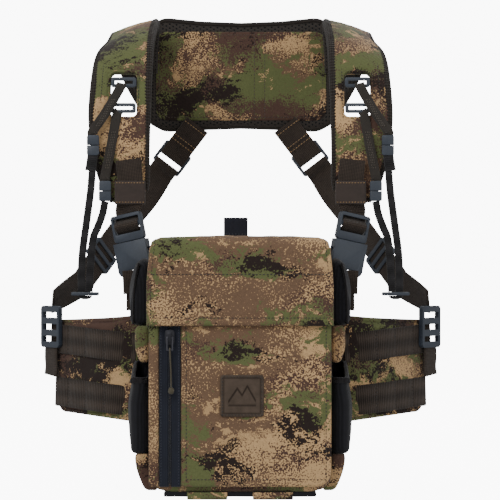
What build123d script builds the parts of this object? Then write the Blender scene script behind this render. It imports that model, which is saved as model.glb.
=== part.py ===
from build123d import *
from math import cos, radians, sin, tan
import os

# Frame: millimetres, +Z up, the pack's front faces -Y and the wearer stands at +Y.
# The origin is the centre of the pack's flat chest-side face.
# Left pieces lie at -X. Right pieces are their mirror images.

# Overall sizes
PACK_WIDTH = 172.0
PACK_DEPTH = 90.0
PACK_TOP = 114.0
PACK_BOTTOM = -118.0
BODY_DEPTH = 188.0      # from the chest face to the yoke across the wearer's back

# Clearances
SEAM = 0.2              # between two pieces sewn to each other
SLIDE = 0.4             # between a sliding piece and what it slides on
LID_GAP = 1.5           # between the lid's skirt and the front panel

# Pack body
WALL = 4.0
LINING = 1.5
CHEST_PAD = 6.0
CORNER = 8.0
PANEL = 4.0
PANEL_TOP_DROP = 4.0
PANEL_BOTTOM_RISE = 5.0
BASE_THICKNESS = 5.0
BASE_INSET = 14.0
LOOP_WIDTH = 38.0
LOOP_DEPTH = 20.0
LOOP_HEIGHT = 2.6
LOOP_WALL = 1.4
LOOP_PITCH = 62.0
PATCH_WIDTH = 41.0
PATCH_HEIGHT = 39.5
PATCH_THICKNESS = 1.5
PATCH_X = 2.0
PATCH_Z = -27.0

# Side pieces, measured outwards from the pack's side
POCKET_DEPTH = 18.0
POCKET_LENGTH = 68.0
POCKET_REAR = 10.0
POCKET_WALL = 2.0
POCKET_MOUTH = 2.0
POCKET_FOOT = -83.0
CUFF_DEPTH = 13.0
SIDE_PANEL_DEPTH = 14.0
SIDE_PANEL_LENGTH = 58.0
SIDE_PANEL_TOP = 38.0
GUSSET_DEPTH = 17.0
GUSSET_LENGTH = 46.0
GUSSET_TOP_DROP = 12.0

# Zip
ZIP_FROM_SIDE = 20.0    # from the pack's left side to the coil
ZIP_TAPE_WIDTH = 20.4
ZIP_TAPE_THICKNESS = 2.6
COIL_WIDTH = 3.0
COIL_HEIGHT = 1.2
SLIDER_Z = 28.0
SLIDER_LENGTH = 14.0
SLIDER_WIDTH = 9.0
SLIDER_PLATE = 2.2
BRIDGE_WIDTH = 3.0
BRIDGE_LENGTH = 8.0
BRIDGE_HEIGHT = 3.2
PULL_BAR = 1.2
PULL_LENGTH = 12.0
PULL_ARM = 1.3
CORD_DIAMETER = 1.3
KNOT_RADIUS = 3.2

# Lid
LID_THICKNESS = 4.0
LID_HEM = 38.6
LID_OVERHANG = 2.0
LID_REAR = -2.0
LID_RISE = 4.0          # from the shell's rim to the underside of the lid
LID_LINER = 3.0
TAB_WIDTH = 24.0
TAB_HEIGHT = 20.0
TAB_THICKNESS = 2.6
TAB_X = -4.5
MAGNET_RADIUS = 6.0
MAGNET_THICKNESS = 1.5
MAGNET_SPACING = 96.0
MAGNET_RISE = 14.0      # from the lid's hem to the magnets' centres

# Webbing and its hardware
WEBBING = 26.0
WEBBING_THICKNESS = 2.4
BUCKLE_RAIL = 4.0       # from the webbing's edge to the buckle's side
BUCKLE_THICKNESS = 11.0
BUCKLE_SOCKET = 34.0
BUCKLE_FRAME = 27.0
BUCKLE_WALL = 2.5
BUCKLE_TILT = 11.7
BUCKLE_TURN = 20.0
PRONG_LENGTH = 20.0
PRONG_HEAD = 10.0
PRONG_THICKNESS = 4.0
KEEPER_HEIGHT = 23.0
KEEPER_WALL = 1.6

# Shoulder pads
PAD_THICKNESS = 8.0
WINDOW_WIDTH = 27.0
WINDOW_HEIGHT = 45.0
WINDOW_OFFSET = 30.0    # from the pack's side to the window's middle
WINDOW_RISE = 149.5     # from the pack's rim to the window's middle

# Tethers
TETHER_WIDTH = 9.0
TETHER_THICKNESS = 2.0
CLIP_WIDTH = 12.0
CLIP_THICKNESS = 6.0
CLIP_HEIGHT = 10.0
CLIP_TONGUE = 7.0
ELASTIC_WIDTH = 7.0
ELASTIC_THICKNESS = 1.6
TOGGLE_LENGTH = 27.0
TOGGLE_HEIGHT = 3.4
TOGGLE_DEPTH = 8.0

# Waist wings
WING_THICKNESS = 7.0
WING_INNER_HEIGHT = 106.0
WING_OUTER_HEIGHT = 88.0
ROW_WIDTH = 29.0
ROW_THICKNESS = 2.0

side = PACK_WIDTH / 2
front = -PACK_DEPTH
panel_front = front - PANEL
zip_x = -(side - ZIP_FROM_SIDE)
lid_under = PACK_TOP + LID_RISE
lid_top = lid_under + LID_THICKNESS
skirt_back = panel_front - LID_GAP
skirt_front = skirt_back - LID_THICKNESS
buckle_width = WEBBING + 2 * BUCKLE_RAIL


def block(x0, x1, y0, y1, z0, z1):
    """Box between two corners."""
    centre = Pos((x0 + x1) / 2, (y0 + y1) / 2, (z0 + z1) / 2)
    return centre * Box(x1 - x0, y1 - y0, z1 - z0)


def at(offset, y, rise):
    """Point on the left, from the pack's side outwards and from the pack's rim upwards."""
    return Vector(-(side + offset), y, PACK_TOP + rise)


def mirrored(shape):
    """The right-hand copy of a left-hand piece."""
    return mirror(shape, about=Plane.YZ)


def strap(points, outward, widths, thickness):
    """Flat strip through the points, with its face turned to the outward directions."""
    sections = []
    for index, point in enumerate(points):
        before = points[max(index - 1, 0)]
        after = points[min(index + 1, len(points) - 1)]
        along = (after - before).normalized()
        across = Vector(outward[index]).cross(along).normalized()
        plane = Plane(origin=point, x_dir=across, z_dir=along)
        sections.append(plane * Rectangle(widths[index], thickness))
    return loft(sections, ruled=True)


def save(name, *shapes):
    """Write one node, which may hold several separate solids."""
    solids = [solid for shape in shapes for solid in shape.solids()]
    node = solids[0] if len(solids) == 1 else Compound(solids)
    export_step(node, f"parts/{name}.step")


def save_pair(name, shape):
    """Write a left piece and its mirror image as two nodes."""
    save(f"{name}_left", shape)
    save(f"{name}_right", mirrored(shape))


def save_both(name, *shapes):
    """Write left pieces and their mirror images in one node."""
    save(name, *shapes, *[mirrored(shape) for shape in shapes])


# ---------------------------------------------------------------- pack body

def tub(half_width, y_front, y_rear, bottom, top, wall, corner):
    """Open-topped box with round front corners."""
    outer = block(-half_width, half_width, y_front, y_rear, bottom, top)
    outer = fillet(outer.edges().filter_by(Axis.Z).group_by(Axis.Y)[0], corner)
    inner = block(wall - half_width, half_width - wall, y_front + wall, y_rear - wall, bottom + wall, top)
    inner = fillet(inner.edges().filter_by(Axis.Z).group_by(Axis.Y)[0], corner - wall)
    return outer - inner


def pack_shell():
    return tub(side, front, -CHEST_PAD, PACK_BOTTOM, PACK_TOP, WALL, CORNER)


def pack_liner():
    inset = WALL + SEAM
    return tub(side - inset, front + inset, -CHEST_PAD - inset, PACK_BOTTOM + inset,
               PACK_TOP - 2.0, LINING, CORNER - WALL)


def chest_panel():
    panel = block(2.0 - side, side - 2.0, -CHEST_PAD, 0, PACK_BOTTOM + 4.0, PACK_TOP - 2.0)
    return fillet(panel.edges().filter_by(Axis.Y), CORNER)


def magnet_places(y_rear):
    """Discs through the thickness in front of y_rear, one each side."""
    disc = Cylinder(MAGNET_RADIUS, MAGNET_THICKNESS)
    middle = y_rear - MAGNET_THICKNESS / 2
    z = LID_HEM + MAGNET_RISE
    return [Pos(x, middle, z) * Rot(90, 0, 0) * disc for x in (-MAGNET_SPACING / 2, MAGNET_SPACING / 2)]


def front_piece(x0, x1):
    """One padded front panel with its magnet pockets."""
    piece = block(x0, x1, panel_front, front, PACK_BOTTOM + PANEL_BOTTOM_RISE, PACK_TOP - PANEL_TOP_DROP)
    for magnet in magnet_places(panel_front + MAGNET_THICKNESS):
        piece = piece - magnet
    return piece


def base_panel():
    half = side - BASE_INSET
    panel = block(-half, half, front + 2.0, -CHEST_PAD, PACK_BOTTOM - BASE_THICKNESS, PACK_BOTTOM)
    return fillet(panel.edges().filter_by(Axis.Z), CORNER)


def base_loop(x):
    """Webbing loop under the base, turned up over the base's front edge."""
    top = PACK_BOTTOM - BASE_THICKNESS
    y1 = front + 2.0
    y0 = y1 - LOOP_WALL
    loop = block(x - LOOP_WIDTH / 2, x + LOOP_WIDTH / 2, y0, y0 + LOOP_DEPTH, top - LOOP_HEIGHT, PACK_BOTTOM)
    base = block(x - LOOP_WIDTH / 2, x + LOOP_WIDTH / 2, y1, y0 + LOOP_DEPTH, top, PACK_BOTTOM)
    gap = block(x - LOOP_WIDTH / 2 + 3.0, x + LOOP_WIDTH / 2 - 3.0, y1, y0 + LOOP_DEPTH,
                top - LOOP_HEIGHT + LOOP_WALL, top)
    return loop - base - gap


def side_pocket():
    """Stretch pocket on the pack's left side, open at the top."""
    outer = block(-side - POCKET_DEPTH, -side, -POCKET_REAR - POCKET_LENGTH, -POCKET_REAR,
                  POCKET_FOOT, POCKET_MOUTH)
    outer = fillet(outer.edges().filter_by(Axis.Z).group_by(Axis.X)[0], CORNER)
    inner = block(-side - POCKET_DEPTH + POCKET_WALL, POCKET_WALL / 2 - side - POCKET_WALL,
                  POCKET_WALL - POCKET_REAR - POCKET_LENGTH, -POCKET_REAR - POCKET_WALL,
                  POCKET_FOOT + POCKET_WALL, POCKET_MOUTH)
    inner = fillet(inner.edges().filter_by(Axis.Z).group_by(Axis.X)[0], CORNER - POCKET_WALL)
    return outer - inner


def side_pad(depth, length, bottom, top, rounding):
    """Rounded pad on the pack's left side."""
    rear = -POCKET_REAR - (POCKET_LENGTH - length) / 2
    pad = block(-side - depth, -side, rear - length, rear, bottom, top)
    return fillet(pad.edges().filter_by(Axis.Z).group_by(Axis.X)[0], rounding)


# ---------------------------------------------------------------- zip

def zip_tapes():
    """Two tapes that meet under the coil, and the coil."""
    bottom = PACK_BOTTOM + PANEL_BOTTOM_RISE
    top = PACK_TOP - PANEL_TOP_DROP
    y0 = front - ZIP_TAPE_THICKNESS
    half = ZIP_TAPE_WIDTH / 2
    left_tape = block(zip_x - half, zip_x - SEAM / 2, y0, front, bottom, top)
    right_tape = block(zip_x + SEAM / 2, zip_x + half, y0, front, bottom, top)
    coil = block(zip_x - COIL_WIDTH / 2, zip_x + COIL_WIDTH / 2, y0 - COIL_HEIGHT, y0, bottom, top)
    return left_tape, right_tape, coil


slider_back = front - ZIP_TAPE_THICKNESS - COIL_HEIGHT - SLIDE
slider_front = slider_back - SLIDER_PLATE
pull_axis_y = slider_front - BRIDGE_HEIGHT / 2 + 0.4


def zip_slider():
    """Plate that rides in front of the coil, with the bridge that holds the pull."""
    plate = block(zip_x - SLIDER_WIDTH / 2, zip_x + SLIDER_WIDTH / 2, slider_front, slider_back,
                  SLIDER_Z - SLIDER_LENGTH / 2, SLIDER_Z + SLIDER_LENGTH / 2)
    plate = fillet(plate.edges().filter_by(Axis.Y), 3.0)
    bridge = block(zip_x - BRIDGE_WIDTH / 2, zip_x + BRIDGE_WIDTH / 2, slider_front - BRIDGE_HEIGHT,
                   slider_front, SLIDER_Z - BRIDGE_LENGTH / 2, SLIDER_Z + BRIDGE_LENGTH / 2)
    half_hole = PULL_BAR / 2 + SLIDE
    hole = block(zip_x - BRIDGE_WIDTH, zip_x + BRIDGE_WIDTH, pull_axis_y - half_hole,
                 pull_axis_y + half_hole, SLIDER_Z - half_hole * 2, SLIDER_Z + half_hole * 2)
    return plate + bridge - hole


def zip_pull():
    """Metal stirrup that hangs from the bridge, with a round bar at its foot for the cord."""
    inner = BRIDGE_WIDTH / 2 + SLIDE
    outer = inner + PULL_ARM
    half = PULL_BAR / 2
    foot = SLIDER_Z - PULL_LENGTH
    pull = Pos(zip_x, pull_axis_y, SLIDER_Z) * Rot(0, 90, 0) * Cylinder(half, outer * 2)
    pull = pull + Pos(zip_x, pull_axis_y, foot) * Rot(0, 90, 0) * Cylinder(half, outer * 2)
    for x0, x1 in ((zip_x - outer, zip_x - inner), (zip_x + inner, zip_x + outer)):
        pull = pull + block(x0, x1, pull_axis_y - half, pull_axis_y + half, foot, SLIDER_Z)
    return pull


# Route of the pull cord from the knot up over the foot of the pull and down to the knot again.
# Each point is across, outwards from the pull's axis, and up from the foot bar.
CORD_ROUTE = [
    (1.4, 1.0, -35.1), (1.3, 1.9, -27.5), (1.1, 2.4, -19.5), (0.7, 2.3, -10.5), (0.3, 1.8, -3.6),
    (0.1, 1.5, 1.6), (0.1, -1.5, 1.6),
    (0.3, -1.8, -3.6), (0.7, -2.3, -10.5), (1.1, -2.4, -19.5), (1.3, -1.9, -27.5), (1.4, -1.0, -35.1),
]


def cord_points():
    foot = SLIDER_Z - PULL_LENGTH
    return [Vector(zip_x + across, pull_axis_y - out, foot + up) for across, out, up in CORD_ROUTE]


def corner_radii(points):
    """Largest tangent arcs that the runs beside each corner leave room for."""
    radii = []
    for before, corner, after in zip(points, points[1:], points[2:]):
        arriving = corner - before
        leaving = after - corner
        half_turn = radians(arriving.get_angle(leaving)) / 2
        radii.append(0.45 * min(arriving.length, leaving.length) / tan(half_turn))
    return radii


def zip_cord():
    points = cord_points()
    radii = corner_radii(points)
    print("zip cord arc radii:", [round(radius, 1) for radius in radii])
    path = FilletPolyline(*points, radius=radii)
    print("zip cord length:", round(path.length, 1))
    start = Plane(origin=points[0], z_dir=points[1] - points[0])
    tube = sweep(start * Circle(CORD_DIAMETER / 2), path=path)
    section = 3.14159 * CORD_DIAMETER ** 2 / 4
    print("zip cord volume over section times length:", round(tube.volume / (section * path.length), 3))
    return tube


def zip_knot():
    foot = SLIDER_Z - PULL_LENGTH
    across, _, up = CORD_ROUTE[0]
    return Pos(zip_x + across, pull_axis_y, foot + up - KNOT_RADIUS * 0.95) * Sphere(KNOT_RADIUS)


# ---------------------------------------------------------------- lid

def lid_panel():
    """Top and front skirt in one bent panel, with pockets for the magnets."""
    half = side + LID_OVERHANG
    outer = block(-half, half, skirt_front, LID_REAR, LID_HEM, lid_top)
    outer = fillet(outer.edges().filter_by(Axis.X).group_by(Axis.Z)[-1].sort_by(Axis.Y)[0], 10.0)
    inner = block(-half, half, skirt_back, LID_REAR, LID_HEM, lid_under)
    inner = fillet(inner.edges().filter_by(Axis.X).group_by(Axis.Z)[-1].sort_by(Axis.Y)[0], 6.0)
    panel = outer - inner
    for magnet in magnet_places(skirt_back):
        panel = panel - magnet
    return panel


def lid_liner():
    inset = WALL + 3.0
    liner = block(inset - side, side - inset, front + inset, -CHEST_PAD - inset,
                  lid_under - SEAM - LID_LINER, lid_under - SEAM)
    return fillet(liner.edges().filter_by(Axis.Z), CORNER)


def lid_tab():
    y_rear = -CHEST_PAD
    tab = block(TAB_X - TAB_WIDTH / 2, TAB_X + TAB_WIDTH / 2, y_rear - TAB_THICKNESS, y_rear,
                lid_top, lid_top + TAB_HEIGHT)
    return fillet(tab.edges().filter_by(Axis.Y).group_by(Axis.Z)[-1], 3.0)


# ---------------------------------------------------------------- shoulder harness

BACK = (0, 1, 0)
UP = (0, 0, 1)
FRONT = (0, -1, 0)

# Pad stations: middle of the pad, outward direction and width
PAD_STATIONS = [
    (at(24.5, BODY_DEPTH - 14, 182), BACK, 45),
    (at(25, BODY_DEPTH - 15, 210), (0, 0.94, 0.34), 48),
    (at(25, BODY_DEPTH - 24, 227), (-0.2, 0.45, 0.87), 52),
    (at(26, BODY_DEPTH * 0.59, 219), (-0.4, -0.1, 0.91), 59),
    (at(31, BODY_DEPTH * 0.34, 198), (-0.3, -0.55, 0.78), 62),
    (at(33, 36, 164), (-0.1, -0.88, 0.46), 62),
    (at(34, 24, 126), (0, -0.98, 0.2), 62),
    (at(32, 19, 91), FRONT, 57),
    (at(27, 17, 61), FRONT, 48),
    (at(22.5, 16, 46), FRONT, 36),
]


def window_middle():
    return at(WINDOW_OFFSET, 30, WINDOW_RISE)


def shoulder_pad():
    """Padded strap over the shoulder, with the window for the tether hooks."""
    points, outward, widths = zip(*PAD_STATIONS)
    pad = strap(points, outward, widths, PAD_THICKNESS)
    middle = window_middle()
    window = block(middle.X - WINDOW_WIDTH / 2, middle.X + WINDOW_WIDTH / 2, -20.0, 90.0,
                   middle.Z - WINDOW_HEIGHT / 2, middle.Z + WINDOW_HEIGHT / 2)
    return pad - window


def yoke_layer(inset, y0, y1):
    """One layer of the yoke, its outline drawn in from the edge by inset."""
    bottom = PACK_TOP + 120.0 + inset
    top = PACK_TOP + 243.0 - inset
    right = [
        (side - 6.0 - inset * 0.5, top), (side + 44.0 - inset, top - 36.0), (side + 38.0 - inset, bottom + 58.0),
        (side + 22.0 - inset, bottom + 30.0), (side - 2.0 - inset * 0.5, bottom),
    ]
    corners = [(0, top - 6.0), *right, (0, bottom + 4.0), *[(-x, z) for x, z in reversed(right)]]
    outline = Plane(origin=(0, y1, 0), x_dir=(1, 0, 0), z_dir=FRONT) * Polygon(*corners, align=None)
    return extrude(outline, y1 - y0, dir=FRONT)


def yoke_facing():
    """Fabric panel on the wearer's side of the yoke, between the mesh bands."""
    y1 = BODY_DEPTH - 4.0
    half = side + 4.0
    facing = block(-half, half, y1 - 1.6, y1, PACK_TOP + 133.0, PACK_TOP + 227.0)
    return fillet(facing.edges().filter_by(Axis.Y), 16.0)


def shoulder_webbing():
    """Webbing from the pad's end to the main buckle."""
    x = -(side + 22.5)
    half = WEBBING / 2
    y1 = 9.2
    return block(x - half, x + half, y1 - WEBBING_THICKNESS, y1, PACK_TOP + 37.0, PACK_TOP + 85.0)


def keeper():
    """Elastic sleeve round the shoulder webbing."""
    x = -(side + 22.5)
    y = 9.2 - WEBBING_THICKNESS / 2
    half = WEBBING / 2 + SLIDE
    depth = WEBBING_THICKNESS / 2 + SLIDE
    z0 = PACK_TOP + 41.0
    z1 = z0 + KEEPER_HEIGHT
    sleeve = block(x - half - KEEPER_WALL, x + half + KEEPER_WALL, y - depth - KEEPER_WALL * 0.7,
                   y + depth + KEEPER_WALL * 0.7, z0, z1)
    return sleeve - block(x - half, x + half, y - depth, y + depth, z0, z1)


# ---------------------------------------------------------------- main buckles

def buckle_place():
    """The left main buckle's own frame: x across it, z up along it, -y out of its face."""
    turn = radians(BUCKLE_TURN)
    tilt = radians(BUCKLE_TILT)
    across = Vector(cos(turn), -sin(turn), 0)
    up = Vector(0, 0, 1)
    return Plane(origin=at(3.8 + buckle_width / 2, 3, 1), x_dir=across * cos(tilt) + up * sin(tilt),
                 z_dir=up * cos(tilt) - across * sin(tilt))


FRAME_FOOT = 4.0
cavity_half = buckle_width / 2 - BUCKLE_WALL
SOCKET_TOP = FRAME_FOOT - 0.6   # the frame stands this far above the socket


def buckle_frame():
    """Male half: ladder frame for the webbing and the middle guide tongue."""
    half = buckle_width / 2 - 1.0
    thick = BUCKLE_THICKNESS / 2 - 2.0
    body = block(-half, half, -thick, thick, FRAME_FOOT, FRAME_FOOT + BUCKLE_FRAME)
    body = fillet(body.edges().filter_by(Axis.Y), 3.0)
    slot_half = WEBBING / 2 + SLIDE
    for z0 in (FRAME_FOOT + 8.0, FRAME_FOOT + 18.0):
        body = body - block(-slot_half, slot_half, -thick, thick, z0, z0 + 5.5)
    return body + block(-2.5, 2.5, -1.5, 1.5, FRAME_FOOT - PRONG_LENGTH, FRAME_FOOT)


def buckle_prong(sign):
    """Springy arm and head on one side of the tongue, separate below the frame."""
    thick = PRONG_THICKNESS / 2
    root = FRAME_FOOT - SLIDE
    tip = root - PRONG_LENGTH
    arm = block(cavity_half - 7.5, cavity_half - 3.5, -thick, thick, tip + PRONG_HEAD - 1.0, root)
    head = block(cavity_half - 5.0, buckle_width / 2 - 0.7, -thick, thick, tip, tip + PRONG_HEAD)
    head = fillet(head.edges().filter_by(Axis.Y).group_by(Axis.X)[-1], 3.0)
    prong = arm + head
    return prong if sign > 0 else mirror(prong, about=Plane.YZ)


def buckle_socket():
    """Female half, open at the top and at both sides where the prongs' heads show."""
    half = buckle_width / 2
    thick = BUCKLE_THICKNESS / 2
    body = block(-half, half, -thick, thick, SOCKET_TOP - BUCKLE_SOCKET, SOCKET_TOP)
    body = fillet(body.edges().filter_by(Axis.Y).group_by(Axis.Z)[0], 7.0)
    room = PRONG_THICKNESS / 2 + 1.0
    floor = SOCKET_TOP - PRONG_LENGTH - 3.0
    body = body - block(-cavity_half, cavity_half, -room, room, floor, SOCKET_TOP)
    window = block(-half, half, -room, room, floor + 1.0, floor + 3.0 + PRONG_HEAD + 1.5)
    body = body - window
    slot_half = half - 6.5
    z0 = SOCKET_TOP - BUCKLE_SOCKET + 3.0
    return body - block(-slot_half, slot_half, -thick, thick, z0, z0 + 3.5)


def buckle_strap():
    """Webbing from the socket down to the pack's side seam."""
    foot = buckle_place().from_local_coords(Vector(0, 0, SOCKET_TOP - BUCKLE_SOCKET - 3.0))
    points = [foot, at(13.5, 1.5, -44), at(13.2, -1.5, -63)]
    return strap(points, [(-0.34, -0.94, 0), (-0.1, -1, 0), FRONT], [22, 25, 25], WEBBING_THICKNESS)


def buckle_tail():
    """Loose end of the shoulder webbing below the buckle."""
    points = [at(23, -7.0, -24), at(22.5, -6.2, -35), at(22, -5.0, -47)]
    return strap(points, [FRONT] * 3, [13, 13, 13], WEBBING_THICKNESS)


# ---------------------------------------------------------------- tethers

# Outer and inner tether: strap top, clip middle (x offset, rise), and the elastic's foot
OUTER_TETHER = {"top": at(33.5, 23, 156), "clip": at(59, 8, 99)}
INNER_TETHER = {"top": at(36.5, 18.5, 128), "clip": at(47.2, 8, 54)}
TOGGLE_RISE = -47.0


def tether_strap(tether):
    """Webbing from the hook in the window down to its clip."""
    clip_top = tether["clip"] + Vector(0, 0, CLIP_HEIGHT + SEAM)
    points = [tether["top"], clip_top + Vector(0, 0, 4.0), clip_top]
    return strap(points, [FRONT] * 3, [TETHER_WIDTH] * 3, TETHER_THICKNESS)


def tether_hook(rise, y):
    """Flat hook that spans the window, with a slot for the tether."""
    middle = window_middle()
    half = WINDOW_WIDTH / 2 - 1.0
    hook = block(middle.X - half, middle.X + half, y - 1.6, y + 1.6, middle.Z + rise - 5.0, middle.Z + rise + 5.0)
    hook = fillet(hook.edges().filter_by(Axis.Y), 2.5)
    return hook - block(middle.X - half + 3.5, middle.X + half - 3.5, y - 1.6, y + 1.6,
                        middle.Z + rise - 1.6, middle.Z + rise + 1.6)


def clip_plug(clip):
    """Upper half of a small clip with its tongue."""
    half = CLIP_WIDTH / 2
    thick = CLIP_THICKNESS / 2
    body = block(-half, half, -thick, thick, SEAM, CLIP_HEIGHT)
    body = fillet(body.edges().filter_by(Axis.Y).group_by(Axis.Z)[-1], 2.0)
    tongue = block(-2.5, 2.5, -1.3, 1.3, -CLIP_TONGUE, SEAM)
    return Pos(*clip) * (body + tongue)


def clip_socket(clip):
    """Lower half of a small clip."""
    half = CLIP_WIDTH / 2
    thick = CLIP_THICKNESS / 2
    body = block(-half, half, -thick, thick, -CLIP_HEIGHT, -SEAM)
    body = fillet(body.edges().filter_by(Axis.Y).group_by(Axis.Z)[0], 2.0)
    room = block(-2.5 - SLIDE, 2.5 + SLIDE, -1.3 - SLIDE, 1.3 + SLIDE, -CLIP_TONGUE - SLIDE, -SEAM)
    return Pos(*clip) * (body - room)


def elastic_leg(clip, waist, foot):
    """One leg of the elastic from a clip's socket to the toggle."""
    head = clip - Vector(0, 0, CLIP_HEIGHT + SEAM)
    points = [head, head - Vector(0, 0, 12.0), waist, foot]
    return strap(points, [FRONT] * 4, [ELASTIC_WIDTH] * 4, ELASTIC_THICKNESS)


def toggle_middle():
    return at(66.5, 5, TOGGLE_RISE)


def tether_elastic():
    """Both legs and the fold below the toggle."""
    rise = TOGGLE_RISE + TOGGLE_HEIGHT / 2 + SLIDE
    half = ELASTIC_WIDTH / 2 + SEAM
    middle = toggle_middle()
    outer = elastic_leg(OUTER_TETHER["clip"], at(69, 6.5, -4), Vector(middle.X - half, 5, PACK_TOP + rise))
    inner = elastic_leg(INNER_TETHER["clip"], at(59, 6.5, 6), Vector(middle.X + half, 5, PACK_TOP + rise))
    fold_top = middle.Z - TOGGLE_HEIGHT / 2 - SEAM
    fold = block(middle.X - half * 2, middle.X + half * 2, 3.0, 7.0, fold_top - 4.5, fold_top)
    return outer, inner, fillet(fold.edges().filter_by(Axis.Y).group_by(Axis.Z)[0], 3.0)


def tether_toggle():
    middle = toggle_middle()
    bar = Pos(*middle) * Box(TOGGLE_LENGTH, TOGGLE_DEPTH, TOGGLE_HEIGHT)
    return fillet(bar.edges().filter_by(Axis.Y), 1.2)


# ---------------------------------------------------------------- cross webbing

LADDER_RAIL = 3.5
LADDER_HEIGHT = 26.0
LADDER_THICKNESS = 5.0
GLIDE_HEIGHT = 22.0
GLIDE_RAIL = 3.0
GLIDE_THICKNESS = 5.4


def yoke_foot():
    return Vector(-(side - 38.0), BODY_DEPTH + 1.0 - 5.5, PACK_TOP + 126.0)


def ladder_middle():
    return Vector(-(side - 13.0), BODY_DEPTH - 6.0, PACK_TOP + 93.0)


def cross_direction():
    return (ladder_middle() - yoke_foot()).normalized()


def cross_upper():
    """Short webbing from the yoke to the ladder lock, on the wearer's side of the yoke."""
    along = cross_direction()
    start = yoke_foot() - Vector(0, 3.4, 0)
    end = ladder_middle() - along * (LADDER_HEIGHT / 2 + SEAM)
    return strap([start, end], [BACK] * 2, [WEBBING + 2] * 2, WEBBING_THICKNESS)


def ladder_lock():
    """One-piece adjuster with three bars."""
    along = cross_direction()
    place = Plane(origin=ladder_middle(), x_dir=Vector(BACK).cross(along).normalized(), z_dir=along)
    half = WEBBING / 2 + LADDER_RAIL
    thick = LADDER_THICKNESS / 2
    body = block(-half, half, -thick, thick, -LADDER_HEIGHT / 2, LADDER_HEIGHT / 2)
    body = fillet(body.edges().filter_by(Axis.Y), 3.0)
    for z0 in (-LADDER_HEIGHT / 2 + 4.0, 2.0):
        body = body - block(3.0 - half, half - 3.0, -thick, thick, z0, z0 + 5.5)
    return place * body


SIDE_RUN = (Vector(-0.48, -0.52, -0.70)).normalized()
SIDE_NORMAL = (-0.72, 0.69, 0)


def glide_middle():
    return at(58, BODY_DEPTH - 70, -10)


def cross_lower():
    """Long webbing round the wearer's side from the ladder lock to the wing's adjuster."""
    along = cross_direction()
    start = ladder_middle() + along * (LADDER_HEIGHT / 2 + SEAM)
    middle = glide_middle()
    points = [
        start, start + along * 6.0, at(14, BODY_DEPTH - 20, 52), middle - SIDE_RUN * 36, middle - SIDE_RUN * 26,
        middle + SIDE_RUN * 26, middle + SIDE_RUN * 36, adjuster_middle() + Vector(1.0, 3.0, 25.0),
    ]
    outward = [BACK, BACK, (-0.25, 0.97, 0), SIDE_NORMAL, SIDE_NORMAL, SIDE_NORMAL, SIDE_NORMAL, (-0.9, -0.2, 0)]
    return strap(points, outward, [WEBBING + 2] * len(points), WEBBING_THICKNESS)


def tri_glide():
    """Three-bar slide on the straight run of the long webbing."""
    place = Plane(origin=glide_middle(), x_dir=Vector(SIDE_NORMAL).cross(SIDE_RUN).normalized(),
                  z_dir=SIDE_RUN)
    half = WEBBING / 2 + 1.0 + SLIDE
    body = block(-half - GLIDE_RAIL, half + GLIDE_RAIL, -GLIDE_THICKNESS / 2, GLIDE_THICKNESS / 2,
                 -GLIDE_HEIGHT / 2, GLIDE_HEIGHT / 2)
    body = fillet(body.edges().filter_by(Axis.Y), 3.0)
    depth = WEBBING_THICKNESS / 2 + SLIDE
    body = body - block(-half, half, -depth, depth, -GLIDE_HEIGHT / 2, GLIDE_HEIGHT / 2)
    for z0 in (-GLIDE_HEIGHT / 2 + 4.0, 2.0):
        body = body - block(-half, half, -GLIDE_THICKNESS / 2, GLIDE_THICKNESS / 2, z0, z0 + 5.0)
    return place * body


# ---------------------------------------------------------------- waist wings

WING_MIDDLE = -6.0      # height of the wing's middle
WING_ROUTE = [(1.0, -CHEST_PAD / 2 - 0.6), (20.0, -3.0), (42.0, 9.0), (72.0, 38.0), (106.0, 76.0)]
WING_OUTWARD = [FRONT, (-0.25, -0.97, 0), (-0.6, -0.8, 0), (-0.74, -0.67, 0), (-0.75, -0.66, 0)]


def wing():
    """Padded waist wing that leaves the pack's rear side edge and sweeps back."""
    points = [Vector(-side - out, y, WING_MIDDLE) for out, y in WING_ROUTE]
    steps = len(points) - 1
    widths = [WING_INNER_HEIGHT + (WING_OUTER_HEIGHT - WING_INNER_HEIGHT) * index / steps
              for index in range(steps + 1)]
    return strap(points, WING_OUTWARD, widths, WING_THICKNESS)


def wing_row(inner_z, outer_z):
    """One row of load webbing on the wing's outer face."""
    lift = WING_THICKNESS / 2 + ROW_THICKNESS / 2 + 0.6
    points = []
    steps = len(WING_ROUTE) - 2
    for index in range(1, len(WING_ROUTE)):
        out, y = WING_ROUTE[index]
        z = inner_z + (outer_z - inner_z) * (index - 1) / steps
        normal = Vector(WING_OUTWARD[index]).normalized()
        points.append(Vector(-side - out, y, z) + normal * lift)
    return strap(points, WING_OUTWARD[1:], [ROW_WIDTH] * len(points), ROW_THICKNESS)


ADJUSTER_WIDTH = 30.0
ADJUSTER_HEIGHT = 42.0
ADJUSTER_THICKNESS = 5.0


def adjuster_middle():
    out, y = WING_ROUTE[-1]
    normal = Vector(WING_OUTWARD[-1]).normalized()
    lift = WING_THICKNESS / 2 + ROW_THICKNESS + ADJUSTER_THICKNESS / 2 + 1.6
    return Vector(-side - out + 9.0, y - 10.0, 33.0) + normal * lift


def adjuster_place():
    normal = Vector(WING_OUTWARD[-1]).normalized()
    return Plane(origin=adjuster_middle(), x_dir=(-normal.Y, normal.X, 0), z_dir=UP)


def wing_adjuster():
    """Tension lock at the wing's end."""
    half = ADJUSTER_WIDTH / 2
    thick = ADJUSTER_THICKNESS / 2
    body = block(-half, half, -thick, thick, -ADJUSTER_HEIGHT / 2, ADJUSTER_HEIGHT / 2)
    body = fillet(body.edges().filter_by(Axis.Y), 4.0)
    for z0 in (-ADJUSTER_HEIGHT / 2 + 6.0, -3.0, ADJUSTER_HEIGHT / 2 - 12.0):
        body = body - block(3.5 - half, half - 3.5, -thick, thick, z0, z0 + 5.5)
    return adjuster_place() * body


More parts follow.
